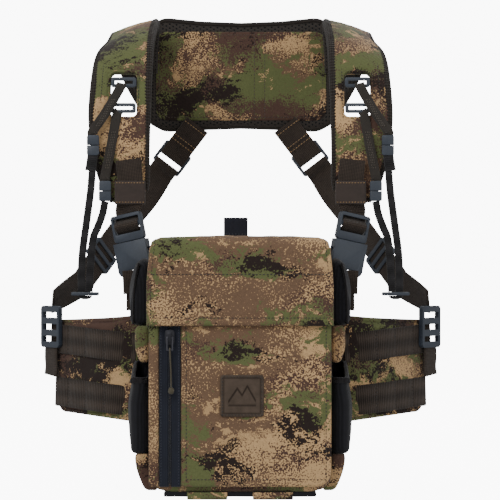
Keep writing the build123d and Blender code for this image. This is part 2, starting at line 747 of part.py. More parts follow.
def adjuster_tail():
    """Loose end of the webbing below the tension lock."""
    place = adjuster_place()
    foot = -ADJUSTER_HEIGHT / 2 - SEAM
    points = [place.from_local_coords(Vector(0, 0, foot)), place.from_local_coords(Vector(0, 0.5, foot - 14)),
              place.from_local_coords(Vector(1, 0, foot - 28))]
    return strap(points, [WING_OUTWARD[-1]] * 3, [20] * 3, WEBBING_THICKNESS)


def build():
    os.makedirs("parts", exist_ok=True)
    save("pack_shell", pack_shell())
    save("pack_liner", pack_liner())
    save("chest_panel", chest_panel())
    half_tape = ZIP_TAPE_WIDTH / 2
    save("front_panel", front_piece(zip_x + half_tape + SEAM, side))
    save("front_strip", front_piece(-side, zip_x - half_tape - SEAM))
    save("body_magnets", *magnet_places(panel_front + MAGNET_THICKNESS))
    patch = block(PATCH_X - PATCH_WIDTH / 2, PATCH_X + PATCH_WIDTH / 2, panel_front - PATCH_THICKNESS,
                  panel_front, PATCH_Z - PATCH_HEIGHT / 2, PATCH_Z + PATCH_HEIGHT / 2)
    save("patch", fillet(patch.edges().filter_by(Axis.Y), 3.0))
    save("base_panel", base_panel())
    save("base_loops", base_loop(-LOOP_PITCH / 2), base_loop(LOOP_PITCH / 2))
    save_both("side_pockets", side_pocket())
    save_both("pocket_cuffs", side_pad(CUFF_DEPTH, POCKET_LENGTH, PACK_BOTTOM, POCKET_FOOT - SEAM, 5.0))
    save_both("side_panels", side_pad(SIDE_PANEL_DEPTH, SIDE_PANEL_LENGTH, POCKET_MOUTH + 1.0,
                                      SIDE_PANEL_TOP, 6.0))
    save_both("side_gussets", side_pad(GUSSET_DEPTH, GUSSET_LENGTH, SIDE_PANEL_TOP + SEAM,
                                       PACK_TOP - GUSSET_TOP_DROP, 8.0))
    save("zip_tapes", *zip_tapes())
    save("zip_slider", zip_slider())
    save("zip_pull", zip_pull())
    save("zip_cord", zip_cord())
    save("zip_knot", zip_knot())
    save("lid_panel", lid_panel())
    save("lid_liner", lid_liner())
    save("lid_tab", lid_tab())
    save("lid_magnets", *magnet_places(skirt_back))
    save("yoke_panel", yoke_layer(0, BODY_DEPTH + 2.0, BODY_DEPTH + 5.0))
    save("yoke_mesh", yoke_layer(1.5, BODY_DEPTH - 4.0, BODY_DEPTH + 2.0))
    save("yoke_facing", yoke_facing())
    save_pair("shoulder_pad", shoulder_pad())
    save_both("shoulder_webbing", shoulder_webbing())
    save_pair("webbing_keeper", keeper())
    place = buckle_place()
    save_pair("buckle_frame", place * buckle_frame())
    save_pair("buckle_prong_outer", place * buckle_prong(-1))
    save_pair("buckle_prong_inner", place * buckle_prong(1))
    save_pair("buckle_socket", place * buckle_socket())
    save_both("buckle_straps", buckle_strap())
    save_both("tether_straps", tether_strap(OUTER_TETHER), tether_strap(INNER_TETHER))
    save_both("tether_hooks", tether_hook(13.0, 30.0), tether_hook(-13.0, 22.0))
    save_both("clip_plugs", clip_plug(OUTER_TETHER["clip"]), clip_plug(INNER_TETHER["clip"]))
    sockets = [clip_socket(tether["clip"]) for tether in (OUTER_TETHER, INNER_TETHER)]
    save("clip_sockets_left", *sockets)
    save("clip_sockets_right", *[mirrored(socket) for socket in sockets])
    elastic = tether_elastic()
    save("tether_elastic_left", *elastic)
    save("tether_elastic_right", *[mirrored(piece) for piece in elastic])
    save_pair("tether_toggle", tether_toggle())
    save_both("cross_webbing_upper", cross_upper())
    save_both("ladder_locks", ladder_lock())
    save_both("cross_webbing_lower", cross_lower())
    save_pair("tri_glide", tri_glide())
    save_pair("wing", wing())
    rows = [wing_row(14.0, 22.0), wing_row(-38.0, -31.0)]
    save("wing_webbing_left", *rows)
    save("wing_webbing_right", *[mirrored(row) for row in rows])
    save_pair("wing_adjuster", wing_adjuster())
    save_both("webbing_tails", buckle_tail(), adjuster_tail())


build()
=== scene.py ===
import math

import bmesh
import bpy
import numpy as np
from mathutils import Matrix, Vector, noise


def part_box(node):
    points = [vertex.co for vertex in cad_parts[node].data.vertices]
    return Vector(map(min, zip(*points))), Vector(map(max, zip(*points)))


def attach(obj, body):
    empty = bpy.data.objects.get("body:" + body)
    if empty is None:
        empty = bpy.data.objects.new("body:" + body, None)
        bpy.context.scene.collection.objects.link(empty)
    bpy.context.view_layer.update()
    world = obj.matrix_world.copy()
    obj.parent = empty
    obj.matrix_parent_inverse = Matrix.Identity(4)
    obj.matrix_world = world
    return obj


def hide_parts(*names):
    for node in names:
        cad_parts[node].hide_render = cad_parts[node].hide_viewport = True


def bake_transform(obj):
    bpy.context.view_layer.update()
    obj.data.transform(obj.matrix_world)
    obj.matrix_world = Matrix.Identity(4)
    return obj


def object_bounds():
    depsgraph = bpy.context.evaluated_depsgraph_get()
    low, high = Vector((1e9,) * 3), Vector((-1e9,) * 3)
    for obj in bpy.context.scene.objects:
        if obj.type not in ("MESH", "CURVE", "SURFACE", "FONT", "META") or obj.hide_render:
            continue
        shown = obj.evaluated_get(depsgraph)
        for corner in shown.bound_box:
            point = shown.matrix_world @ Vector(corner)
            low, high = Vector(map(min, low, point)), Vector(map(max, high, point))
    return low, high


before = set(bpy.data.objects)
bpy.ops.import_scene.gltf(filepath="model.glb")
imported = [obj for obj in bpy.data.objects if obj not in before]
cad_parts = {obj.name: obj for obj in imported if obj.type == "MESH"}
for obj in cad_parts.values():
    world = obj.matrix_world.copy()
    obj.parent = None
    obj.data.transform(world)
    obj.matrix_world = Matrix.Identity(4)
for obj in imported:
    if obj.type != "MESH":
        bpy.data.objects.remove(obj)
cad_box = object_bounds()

bl_info = {
    "name": "Binocular Harness Pack",
    "version": (1, 0, 0),
    "blender": (4, 5, 0),
    "location": "3D View > Sidebar > Harness Pack",
    "description": "Builds a camouflage binocular chest pack with its harness, webbing and buckles",
    "category": "Add Mesh",
}

MM = 0.001
HARNESS = "harness"
BACK, FRONT = (0, 1, 0), (0, -1, 0)
SIDES = ("left", "right")

# Soft goods: the swell of a stuffed pad, the bound edges, and where the straps' pads are quilted.
CLOTH_VOXEL = 2.4 * MM
CLOTH_SWELL = 1.2 * MM
CLOTH_FRAMES = 20
PAD_EDGE = 8.6 * MM
PAD_QUILT_INSET = 12.5 * MM
# The parts of a pad that run down the chest lie in front of this depth.
CHEST_SIDE = 90 * MM
CROSS_WIDTH = 28 * MM
ROW_WIDTH = 29 * MM
TACK_PITCH = 27 * MM

shell_low, shell_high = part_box("pack_shell")
side = shell_high.x
rim = shell_high.z
panel_low, panel_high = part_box("front_panel")
yoke_low, yoke_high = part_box("yoke_mesh")
body_depth = yoke_low.y / MM + 4.0


# ---------------------------------------------------------------- properties

def linear(red, green, blue):
    """A linear colour from 0 to 255 screen values."""
    return tuple((value / 255) ** 2.2 for value in (red, green, blue))


def colour_property(name, description, default):
    return bpy.props.FloatVectorProperty(
        name=name, description=description, default=default, subtype="COLOR", size=3, min=0, max=1)


def size_property(name, description, default):
    return bpy.props.FloatProperty(name=name, description=description, default=default * MM,
                                   min=0, unit="LENGTH", subtype="DISTANCE", precision=4)


KEEPER_THREAD = linear(150, 118, 78)
TACK_THREAD = linear(150, 118, 80)


class HarnessColours(bpy.types.PropertyGroup):
    """Colours of the cloth, webbing and fittings."""
    camo_tan: colour_property("Camo tan", "Light sand ground of the print", linear(196, 160, 116))
    camo_green: colour_property("Camo green", "Olive patches of the print", linear(97, 102, 66))
    camo_brown: colour_property("Camo brown", "Brown patches of the print", linear(84, 64, 56))
    camo_dark: colour_property("Camo dark", "Darkest streaks of the print", linear(46, 37, 34))
    webbing: colour_property("Webbing", "Woven straps", linear(55, 47, 41))
    keeper: colour_property("Keeper", "Smooth elastic sleeves", linear(61, 53, 49))
    mesh: colour_property("Spacer mesh", "Mesh lining and bindings", linear(44, 39, 35))
    stretch: colour_property("Stretch cloth", "Side pockets and gussets", linear(22, 22, 27))
    zip_tape: colour_property("Zip tape", "Coated zip tape", linear(25, 29, 40))
    plastic: colour_property("Buckles", "Moulded buckles and fittings", linear(48, 54, 63))
    leather: colour_property("Patch", "Leather patch", linear(80, 70, 62))
    thread: colour_property("Thread", "Seams on the cloth", linear(36, 29, 25))
    pull_cord: colour_property("Pull cord", "Cord on the zip pull", linear(66, 60, 44))
    floor: colour_property("Floor", "Studio floor", (0.9, 0.9, 0.9))


class HarnessSizes(bpy.types.PropertyGroup):
    """Sizes that the sewing and moulding can vary."""
    stitch_pitch: size_property("Stitch pitch", "From one stitch to the next", 3.4)
    stitch_length: size_property("Stitch length", "Length of one stitch", 2.5)
    stitch_width: size_property("Stitch width", "Thickness of the thread", 0.85)
    binding_width: size_property("Binding width", "Width of the mesh binding on the straps", 8.5)
    wrinkle: size_property("Wrinkle", "Height of the wrinkles in the shell cloth", 0.8)
    bevel: size_property("Moulded edge", "Rounding of the plastic edges", 0.5)
    rib_pitch: size_property("Rib pitch", "From one rib of the elastic to the next", 2.0)


def colours():
    return bpy.context.scene.harness_colours


def sizes():
    return bpy.context.scene.harness_sizes


# ---------------------------------------------------------------- shader helpers

class Graph:
    """Short way to add nodes to a shader or geometry tree."""

    def __init__(self, tree):
        self.tree = tree
        self.end = None

    def close(self, **results):
        """Joins the results to the group's outputs and gives back the finished tree."""
        for label, value in results.items():
            self.tree.links.new(value, self.end[label])
        return self.tree

    def add(self, kind, inputs=None, **settings):
        node = self.tree.nodes.new(kind)
        for key, value in settings.items():
            setattr(node, key, value)
        for key, value in (inputs or {}).items():
            if isinstance(value, bpy.types.NodeSocket):
                self.tree.links.new(value, node.inputs[key])
            else:
                node.inputs[key].default_value = value
        return node

    def math(self, operation, first, second=0.0):
        return self.add("ShaderNodeMath", {0: first, 1: second}, operation=operation).outputs[0]

    def times(self, first, second):
        return self.math("MULTIPLY", first, second)

    def plus(self, first, second):
        return self.math("ADD", first, second)

    def minus(self, first, second):
        return self.math("SUBTRACT", first, second)

    def mix(self, factor, first, second, blend="MIX"):
        node = self.add("ShaderNodeMix", {0: factor, 6: first, 7: second}, data_type="RGBA",
                        blend_type=blend, clamp_factor=True)
        return node.outputs[2]

    def noise(self, vector, scale, detail=2.0, roughness=0.5):
        node = self.add("ShaderNodeTexNoise", {"Vector": vector, "Scale": scale, "Detail": detail,
                                               "Roughness": roughness})
        return node.outputs["Fac"]

    def step(self, value, low, high):
        node = self.add("ShaderNodeMapRange", {"Value": value, "From Min": low, "From Max": high},
                        interpolation_type="SMOOTHSTEP")
        return node.outputs["Result"]

    def scaled(self, vector, factors, offset=(0, 0, 0)):
        node = self.add("ShaderNodeMapping", {"Vector": vector, "Scale": factors, "Location": offset})
        return node.outputs["Vector"]


def node_group(name, inputs, outputs):
    """A new shader group with its named sockets."""
    tree = bpy.data.node_groups.new(name, "ShaderNodeTree")
    for label, kind, default in inputs:
        socket = tree.interface.new_socket(label, in_out="INPUT", socket_type="NodeSocket" + kind)
        if default is not None:
            socket.default_value = default
    for label, kind in outputs:
        tree.interface.new_socket(label, in_out="OUTPUT", socket_type="NodeSocket" + kind)
    graph = Graph(tree)
    start = graph.add("NodeGroupInput").outputs
    graph.end = graph.add("NodeGroupOutput").inputs
    return graph, start


def shade(colour, factor=1.0):
    """The colour made darker or lighter, with its alpha."""
    return (*(min(1.0, value * factor) for value in colour), 1.0)


TONES = ("Tan", "Green", "Brown", "Dark")
# For each layer of patches: their scale, and how far fine specks and coarser crumbs break up their edges.
PATCH_LAYERS = ((11.5, 0.20, 0.32), (11.0, 0.50, 0.25), (14.0, 0.30, 0.38), (24.0, 0.35, 0.55),
                (9.0, 0.0, 0.0))


def camo_group():
    """Horizontally stretched patches of four colours; the sand and brown break up into fine specks."""
    tones = [(tone, "Color", (1, 1, 1, 1)) for tone in TONES]
    inputs = [("Vector", "Vector", None), *tones, ("Dark share", "Float", 0.0)]
    graph, start = node_group("camo_print", inputs, [("Color", "Color")])
    place = start["Vector"]
    warp = graph.add("ShaderNodeTexNoise", {"Vector": place, "Scale": 24.0, "Detail": 3.0})
    shift = graph.add("ShaderNodeVectorMath", {0: warp.outputs["Color"], 1: (0.5, 0.5, 0.5)},
                      operation="SUBTRACT")
    shift = graph.add("ShaderNodeVectorMath", {0: shift.outputs[0], "Scale": 0.045}, operation="SCALE")
    warped = graph.add("ShaderNodeVectorMath", {0: place, 1: shift.outputs[0]}, operation="ADD").outputs[0]
    flat = graph.scaled(warped, (1.0, 1.0, 1.8))
    speck = graph.minus(graph.noise(place, 680.0, 1.0), 0.5)
    crumb = graph.minus(graph.noise(graph.scaled(warped, (1.0, 1.0, 1.5)), 140.0, 2.0), 0.5)
    fields = []
    for index, (scale, dots, crumbs) in enumerate(PATCH_LAYERS):
        moved = graph.scaled(flat, (1, 1, 1), (index * 3.7, index * 1.9, index * 5.3))
        grain = graph.plus(graph.times(speck, dots), graph.times(crumb, crumbs))
        fields.append(graph.plus(graph.noise(moved, scale, 2.0, 0.5), grain))
    more = start["Dark share"]
    sand = graph.step(graph.minus(fields[0], more), 0.455, 0.475)
    brown = graph.step(graph.plus(fields[1], more), 0.545, 0.57)
    dark = graph.step(graph.plus(fields[2], more), 0.60, 0.62)
    flake = graph.step(fields[3], 0.70, 0.72)
    crackle = graph.step(graph.plus(graph.times(fields[4], 1.5), graph.times(speck, 1.1)),
                         0.74, 0.84)
    speckled = graph.mix(graph.times(crackle, 0.85), start["Tan"], start["Brown"])
    paint = graph.mix(sand, start["Green"], speckled)
    paint = graph.mix(brown, paint, start["Brown"])
    paint = graph.mix(dark, paint, start["Dark"])
    return graph.close(Color=graph.mix(graph.times(flake, 0.8), paint, start["Tan"]))


def cloth_group():
    """Fine cross weave and soft wrinkles: a height, and a mask for the tops of the threads."""
    graph, start = node_group(
        "cloth_weave", [("Vector", "Vector", None), ("Threads", "Float", 1100.0)],
        [("Height", "Float"), ("Tops", "Float")])
    place = start["Vector"]
    split = graph.add("ShaderNodeSeparateXYZ", {0: place})
    across = graph.plus(split.outputs[0], graph.times(split.outputs[1], 0.83))
    warp = graph.math("SINE", graph.times(across, start["Threads"]))
    weft = graph.math("SINE", graph.times(split.outputs[2], start["Threads"]))
    weave = graph.times(warp, weft)
    fuzz = graph.noise(place, 1400.0, 2.0)
    crease = graph.noise(graph.scaled(place, (1, 1, 1.6)), 60.0, 3.0)
    height = graph.plus(graph.times(weave, 0.25), graph.times(fuzz, 0.5))
    height = graph.plus(height, graph.times(crease, 2.2))
    return graph.close(Height=height, Tops=fuzz)


def strap_group():
    """Ribs of woven tape in the piece's own UV, which is in metres across and along."""
    graph, start = node_group(
        "tape_ribs", [("Vector", "Vector", None), ("Across", "Float", 3200.0), ("Along", "Float", 3800.0)],
        [("Height", "Float"), ("Tops", "Float")])
    split = graph.add("ShaderNodeSeparateXYZ", {0: start["Vector"]})
    across = graph.times(split.outputs[0], start["Across"])
    along = graph.times(split.outputs[1], start["Along"])
    ribs = graph.times(graph.math("SINE", graph.plus(across, along)),
                       graph.math("SINE", graph.minus(across, along)))
    fuzz = graph.noise(graph.scaled(start["Vector"], (1, 1, 1)), 900.0, 2.0)
    height = graph.plus(graph.times(ribs, 0.5), graph.times(fuzz, 0.6))
    # Tops is the rib mask with which tape paints the highlight on the rib tops and the shade in the grooves.
    return graph.close(Height=height, Tops=graph.plus(graph.times(ribs, 0.5), 0.5))


def mesh_group():
    """Staggered round cells of spacer mesh in the piece's own UV."""
    graph, start = node_group(
        "spacer_cells", [("Vector", "Vector", None), ("Pitch", "Float", 0.0034)],
        [("Height", "Float"), ("Hole", "Float")])
    split = graph.add("ShaderNodeSeparateXYZ", {0: start["Vector"]})
    turn = graph.math("DIVIDE", 2 * math.pi, start["Pitch"])
    first = graph.math("COSINE", graph.times(split.outputs[0], turn))
    lean = graph.times(split.outputs[0], 0.5)
    rise = graph.times(split.outputs[1], 0.866)
    second = graph.math("COSINE", graph.times(graph.plus(lean, rise), turn))
    third = graph.math("COSINE", graph.times(graph.minus(lean, rise), turn))
    cells = graph.plus(graph.plus(first, second), third)
    # Hole sinks the cells in the bump, and spacer paints the shade inside them with it.
    hole = graph.step(cells, 0.2, 1.4)
    return graph.close(Height=graph.times(hole, -1.0), Hole=hole)


def wear_group():
    """Mottle and fine scratches of handled surfaces."""
    graph, start = node_group(
        "handled_wear", [("Vector", "Vector", None), ("Scale", "Float", 300.0)],
        [("Mottle", "Float"), ("Scratch", "Float"), ("Grain", "Float")])
    place = start["Vector"]
    mottle = graph.noise(place, graph.times(start["Scale"], 0.25), 3.0)
    scratch = graph.noise(graph.scaled(place, (1.0, 1.0, 9.0)), graph.times(start["Scale"], 2.0), 3.0)
    grain = graph.noise(place, graph.times(start["Scale"], 6.0), 2.0)
    return graph.close(Mottle=mottle, Scratch=graph.step(scratch, 0.62, 0.7), Grain=grain)


GROUP_MAKERS = {"camo": camo_group, "cloth": cloth_group, "strap": strap_group, "mesh": mesh_group,
                "wear": wear_group}
groups = {}


def shared_group(name):
    """One of the shared shader groups, made the first time it is asked for."""
    if name not in groups:
        groups[name] = GROUP_MAKERS[name]()
    return groups[name]


def new_material(name, finish):
    """A node material; finish(graph) returns base colour, height, bump distance and shader settings."""
    if name in bpy.data.materials:
        return bpy.data.materials[name]
    material = bpy.data.materials.new(name)
    material.use_nodes = True
    graph = Graph(material.node_tree)
    shader = material.node_tree.nodes["Principled BSDF"]
    paint, height, distance, settings = finish(graph)
    material.node_tree.links.new(paint, shader.inputs["Base Color"])
    bump = graph.add("ShaderNodeBump", {"Height": height, "Strength": 0.8, "Distance": distance})
    material.node_tree.links.new(bump.outputs["Normal"], shader.inputs["Normal"])
    for key, value in settings.items():
        if isinstance(value, bpy.types.NodeSocket):
            material.node_tree.links.new(value, shader.inputs[key])
        else:
            shader.inputs[key].default_value = value
    return material


def object_place(graph):
    return graph.add("ShaderNodeTexCoord").outputs["Object"]


def own_uv(graph):
    return graph.add("ShaderNodeTexCoord").outputs["UV"]


def grouped(graph, name, inputs):
    return graph.add("ShaderNodeGroup", inputs, node_tree=shared_group(name)).outputs


# For each printed cloth, where its piece was cut from the print and how much more of it is dark.
PRINTS = {
    "camo_shell_cloth": ((0.07, 0.0, 0.21), 0.01), "camo_loops": ((0.31, 0.2, 0.05), 0.01),
    "camo_front_cloth": ((0.02, 0.0, 0.11), -0.035), "camo_cuffs": ((0.4, 0.1, 0.33), 0.03),
    "camo_lid_cloth": ((0.0, 0.0, 0.03), -0.02), "camo_yoke_cloth": ((0.55, 0.0, 0.4), 0.02),
    "camo_yoke_facing": ((0.9, 0.0, 0.62), 0.04), "camo_shoulder_cloth": ((0.4, 0.0, 1.5), 0.015),
    "camo_wing_cloth": ((2.1, 0.0, 1.7), 0.06),
}


def camo(name):
    """Printed cloth, cut from its own place in the print."""
    offset, dark_share = PRINTS[name]

    def finish(graph):
        place = object_place(graph)
        palette = colours()
        inputs = {"Vector": graph.scaled(place, (1, 1, 1), offset), "Dark share": dark_share}
        for tone in TONES:
            inputs[tone] = shade(getattr(palette, "camo_" + tone.lower()))
        paint = grouped(graph, "camo", inputs)["Color"]
        cloth = grouped(graph, "cloth", {"Vector": place})
        paint = graph.mix(graph.times(graph.step(cloth["Tops"], 0.35, 0.7), 0.22), paint,
                          (0.02, 0.015, 0.01, 1), "MULTIPLY")
        rough = graph.plus(0.78, graph.times(cloth["Tops"], 0.2))
        return paint, cloth["Height"], 0.0005, {"Roughness": rough, "Sheen Weight": 0.08,
                                                "Sheen Roughness": 0.5, "Specular IOR Level": 0.2}
    return new_material(name, finish)


def tape(name, colour, across=3200.0, along=3800.0, sheen=0.15, depth=0.0003):
    """Woven tape or elastic in the piece's UV."""
    def finish(graph):
        ribs = grouped(graph, "strap", {"Vector": own_uv(graph), "Across": across, "Along": along})
        # dark is the painted shade in the grooves between the ribs, and also the tone of random darker
        # patches; light is the painted highlight on the rib tops.
        dark = shade(colour, 0.4)
        light = shade(colour, 1.8)
        patchy = graph.noise(object_place(graph), 90.0, 3.0)
        # Painted highlight and shade: the rib mask makes the rib tops light and the grooves dark.
        paint = graph.mix(ribs["Tops"], dark, light)
        paint = graph.mix(graph.times(graph.step(patchy, 0.4, 0.7), 0.3), paint, dark)
        rough = graph.minus(0.92, graph.times(ribs["Tops"], 0.2))
        return paint, ribs["Height"], depth, {"Roughness": rough, "Sheen Weight": sheen,
                                              "Specular IOR Level": 0.25}
    return new_material(name, finish)


def spacer(name, pitch=0.0034):
    """Black spacer mesh in the piece's UV."""
    def finish(graph):
        cells = grouped(graph, "mesh", {"Vector": own_uv(graph), "Pitch": pitch})
        colour = colours().mesh
        fuzz = graph.noise(object_place(graph), 700.0, 2.0)
        yarn = graph.mix(fuzz, shade(colour, 0.7),
                         shade(colour, 1.9))
        # Painted shade: the holes of the cells are painted near black for the shade inside them.
        paint = graph.mix(cells["Hole"], yarn, (0.003, 0.003, 0.003, 1))
        rough = graph.plus(0.7, graph.times(cells["Hole"], 0.25))
        return paint, cells["Height"], 0.0009, {"Roughness": rough, "Sheen Weight": 0.2,
                                                "Specular IOR Level": 0.3}
    return new_material(name, finish)


def mesh_binding():
    return tape("mesh_binding", colours().mesh, 1500.0, 2100.0, 0.1, 0.0009)


def moulded(name, colour, roughness=0.36):
    """Moulded plastic with a faint grain, mottle and rubbed scratches."""
    def finish(graph):
        wear = grouped(graph, "wear", {"Vector": object_place(graph)})
        paint = graph.mix(wear["Mottle"], shade(colour, 0.75),
                          shade(colour, 1.5))
        paint = graph.mix(graph.times(wear["Scratch"], 0.25), paint,
                          shade([value + 0.003125 for value in colour], 3.2))
        rough = graph.plus(roughness, graph.times(wear["Mottle"], 0.22))
        return paint, wear["Grain"], 0.00012, {"Roughness": rough, "Specular IOR Level": 0.5}
    return new_material(name, finish)


def leather(name, colour):
    """Matt leather, darker where the piece's attribute "pressed" says that it is tooled."""
    def finish(graph):
        place = object_place(graph)
        pebble = graph.add("ShaderNodeTexVoronoi", {"Vector": place, "Scale": 900.0}).outputs["Distance"]
        mottle = graph.noise(place, 130.0, 4.0)
        paint = graph.mix(mottle, shade(colour, 0.6),
                          shade(colour, 1.4))
        tooled = graph.add("ShaderNodeAttribute", attribute_name="pressed").outputs["Fac"]
        paint = graph.mix(graph.times(tooled, 0.75), paint, shade(colour, 0.2))
        height = graph.plus(graph.times(pebble, 0.8), mottle)
        rough = graph.plus(0.62, graph.times(mottle, 0.25))
        return paint, height, 0.0003, {"Roughness": rough, "Specular IOR Level": 0.06}
    return new_material(name, finish)


def metal(name, colour, roughness=0.3):
    def finish(graph):
        wear = grouped(graph, "wear", {"Vector": object_place(graph), "Scale": 600.0})
        paint = graph.mix(wear["Mottle"], shade(colour, 0.8), shade(colour))
        rough = graph.plus(roughness, graph.times(wear["Mottle"], 0.25))
        return paint, wear["Grain"], 0.00008, {"Roughness": rough, "Metallic": 0.9}
    return new_material(name, finish)


def thread(name, colour):
    def finish(graph):
        twist = graph.noise(object_place(graph), 2600.0, 1.0)
        paint = graph.mix(twist, shade(colour, 0.6),
                          shade(colour, 1.5))
        return paint, twist, 0.0002, {"Roughness": graph.plus(0.6, graph.times(twist, 0.3)),
                                      "Sheen Weight": 0.2}
    return new_material(name, finish)


# ---------------------------------------------------------------- mesh helpers

def at(offset, y, rise):
    """Left-hand point: from the pack's side outwards, in depth, and up from the rim, in millimetres."""
    return np.array([-(side + offset * MM), y * MM, rim + rise * MM])


def mm(*values):
    """A vector from millimetres."""
    return np.array(values, float) * MM


def follow(surface, path, lift=0.0):
    """Points at the (u, v) places of a surface, lifted off it, and the outward directions there."""
    spots = [surface(u, v) for u, v in path]
    return [point + outward * lift for point, outward in spots], [outward for _, outward in spots]


def spline(values, count):
    """Smooth run of samples through the given rows."""
    values = np.asarray(values, float)
    ends = np.vstack([2 * values[0] - values[1], values, 2 * values[-1] - values[-2]])
    samples = []
    for place in np.linspace(0, len(values) - 1, count):
        index = min(int(place), len(values) - 2)
        f = place - index
        a, b, c, d = ends[index:index + 4]
        samples.append(0.5 * (2 * b + (c - a) * f + (2 * a - 5 * b + 4 * c - d) * f * f
                              + (3 * b - a - 3 * c + d) * f ** 3))
    return np.array(samples)


def unit(rows):
    rows = np.asarray(rows, float)
    return rows / np.linalg.norm(rows, axis=-1, keepdims=True)


def smooth_step(value):
    value = min(max(value, 0.0), 1.0)
    return value * value * (3 - 2 * value)


def linked(name, data):
    """A new object in the scene; a mesh gets smooth shading."""
    obj = bpy.data.objects.new(name, data)
    bpy.context.scene.collection.objects.link(obj)
    return smooth(obj)


def smooth(obj):
    if obj.type == "MESH":
        obj.data.polygons.foreach_set("use_smooth", [True] * len(obj.data.polygons))
    return obj


def make_mesh(name, verts, faces, corner_uvs=None):
    """A new object from plain lists, with outward faces, smooth shading and a UV map."""
    mesh = bpy.data.meshes.new(name)
    mesh.from_pydata([tuple(vert) for vert in verts], [], faces)
    if corner_uvs is not None:
        layer = mesh.uv_layers.new(name="metres")
        flat = [value for corners in corner_uvs for uv in corners for value in uv]
        layer.data.foreach_set("uv", flat)
    body = bmesh.new()
    body.from_mesh(mesh)
    bmesh.ops.remove_doubles(body, verts=body.verts, dist=1e-6)
    loose = [vert for vert in body.verts if not vert.link_faces]
    bmesh.ops.delete(body, geom=loose, context="VERTS")
    bmesh.ops.recalc_face_normals(body, faces=body.faces)
    body.to_mesh(mesh)
    body.free()
    return linked(name, mesh)


def baked(obj):
    """The object with its modifiers turned into plain mesh."""
    graph = bpy.context.evaluated_depsgraph_get()
    mesh = bpy.data.meshes.new_from_object(obj.evaluated_get(graph))
    old = obj.data
    obj.modifiers.clear()
    obj.data = mesh
    if old.users == 0 and isinstance(old, bpy.types.Mesh):
        bpy.data.meshes.remove(old)
    return obj


def mirrored(obj, name):
    """The right-hand copy of a left-hand piece."""
    mesh = obj.data.copy()
    for vert in mesh.vertices:
        vert.co.x = -vert.co.x
    mesh.flip_normals()
    return linked(name, mesh)


def finish_piece(obj, material, body, slot, replaces=()):
    """Gives a finished piece its material, body, slot and the CAD nodes that it stands for."""
    obj.data.materials.clear()
    obj.data.materials.append(material)
    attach(obj, body)
    if replaces:
        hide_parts(*replaces)
    return obj


def directions(centre, normal):
    """Across and outward directions at each point of a line, and the distance travelled to it."""
    along = unit(np.gradient(centre, axis=0))
    across = unit(np.cross(normal, along))
    steps = np.linalg.norm(np.diff(centre, axis=0), axis=1)
    return across, np.cross(along, across), np.concatenate([[0], np.cumsum(steps)])


# Sections of a strip as shares of its width and thickness: flat with soft edges, and oval.
FLAT_TOP = [(-0.5, 0.0), (-0.49, 0.34), (-0.46, 0.5), (-0.25, 0.5), (0.0, 0.5), (0.25, 0.5), (0.46, 0.5),
            (0.49, 0.34), (0.5, 0.0)]
FLAT = FLAT_TOP + [(-across, -out) for across, out in FLAT_TOP[1:-1]]
OVAL = [(0.5 * math.cos(turn) * abs(math.cos(turn)) ** -0.35 if abs(math.cos(turn)) > 1e-6 else 0.0,
         0.5 * math.sin(turn)) for turn in np.linspace(math.pi, -math.pi, 17)[:-1]]


def ribbon(name, points, normals, widths, thickness, samples, profile=FLAT, rib=0.0, rib_pitch=0.002):
    """Closed strip swept along smooth stations; its UV is metres across and along."""
    widths = np.broadcast_to(np.asarray(widths, float), (len(points),))
    rows = np.hstack([np.asarray(points, float), unit(normals), widths[:, None]])
    rows = spline(rows, samples)
    centre, normal, width = rows[:, :3], rows[:, 3:6], rows[:, 6]
    across, out, travelled = directions(centre, normal)
    swell = 1 + rib * np.sin(travelled * 2 * math.pi / rib_pitch)
    verts = []
    for index in range(samples):
        for a, o in profile:
            verts.append(centre[index] + across[index] * width[index] * a * (0.8 + 0.2 * swell[index])
                         + out[index] * thickness * o * swell[index])
    count = len(profile)
    girth = [0.0]
    for (a0, o0), (a1, o1) in zip(profile, profile[1:] + profile[:1]):
        girth.append(girth[-1] + math.hypot((a1 - a0) * width[0], (o1 - o0) * thickness))
    faces = []
    uvs = []
    for index in range(samples - 1):
        for j in range(count):
            k = (j + 1) % count
            base, ahead = index * count, (index + 1) * count
            faces.append((base + j, base + k, ahead + k, ahead + j))
            low, high = travelled[index], travelled[index + 1]
            uvs.append([(girth[j], low), (girth[j + 1], low), (girth[j + 1], high), (girth[j], high)])
    for base, v in ((0, 0.0), ((samples - 1) * count, travelled[-1])):
        faces.append(tuple(range(base, base + count)))
        uvs.append([(profile[j][0] * width[0], v + profile[j][1] * thickness) for j in range(count)])
    return make_mesh(name, verts, faces, uvs)


def spaced(low, high, count, edge):
    """Grid lines from low to high, closer together near both ends."""
    start = [low, low + 0.12 * edge, low + 0.4 * edge, low + edge]
    end = [high - edge, high - 0.4 * edge, high - 0.12 * edge, high]
    return np.array(start + list(np.linspace(low + edge, high - edge, count)[1:-1]) + end)


def edged(inner, count):
    """Grid lines from -1 to 1 with three closer ones beyond inner at each side."""
    return np.concatenate([np.linspace(-1, -inner, 4)[:-1], np.linspace(-inner, inner, count),
                           np.linspace(inner, 1, 4)[1:]])


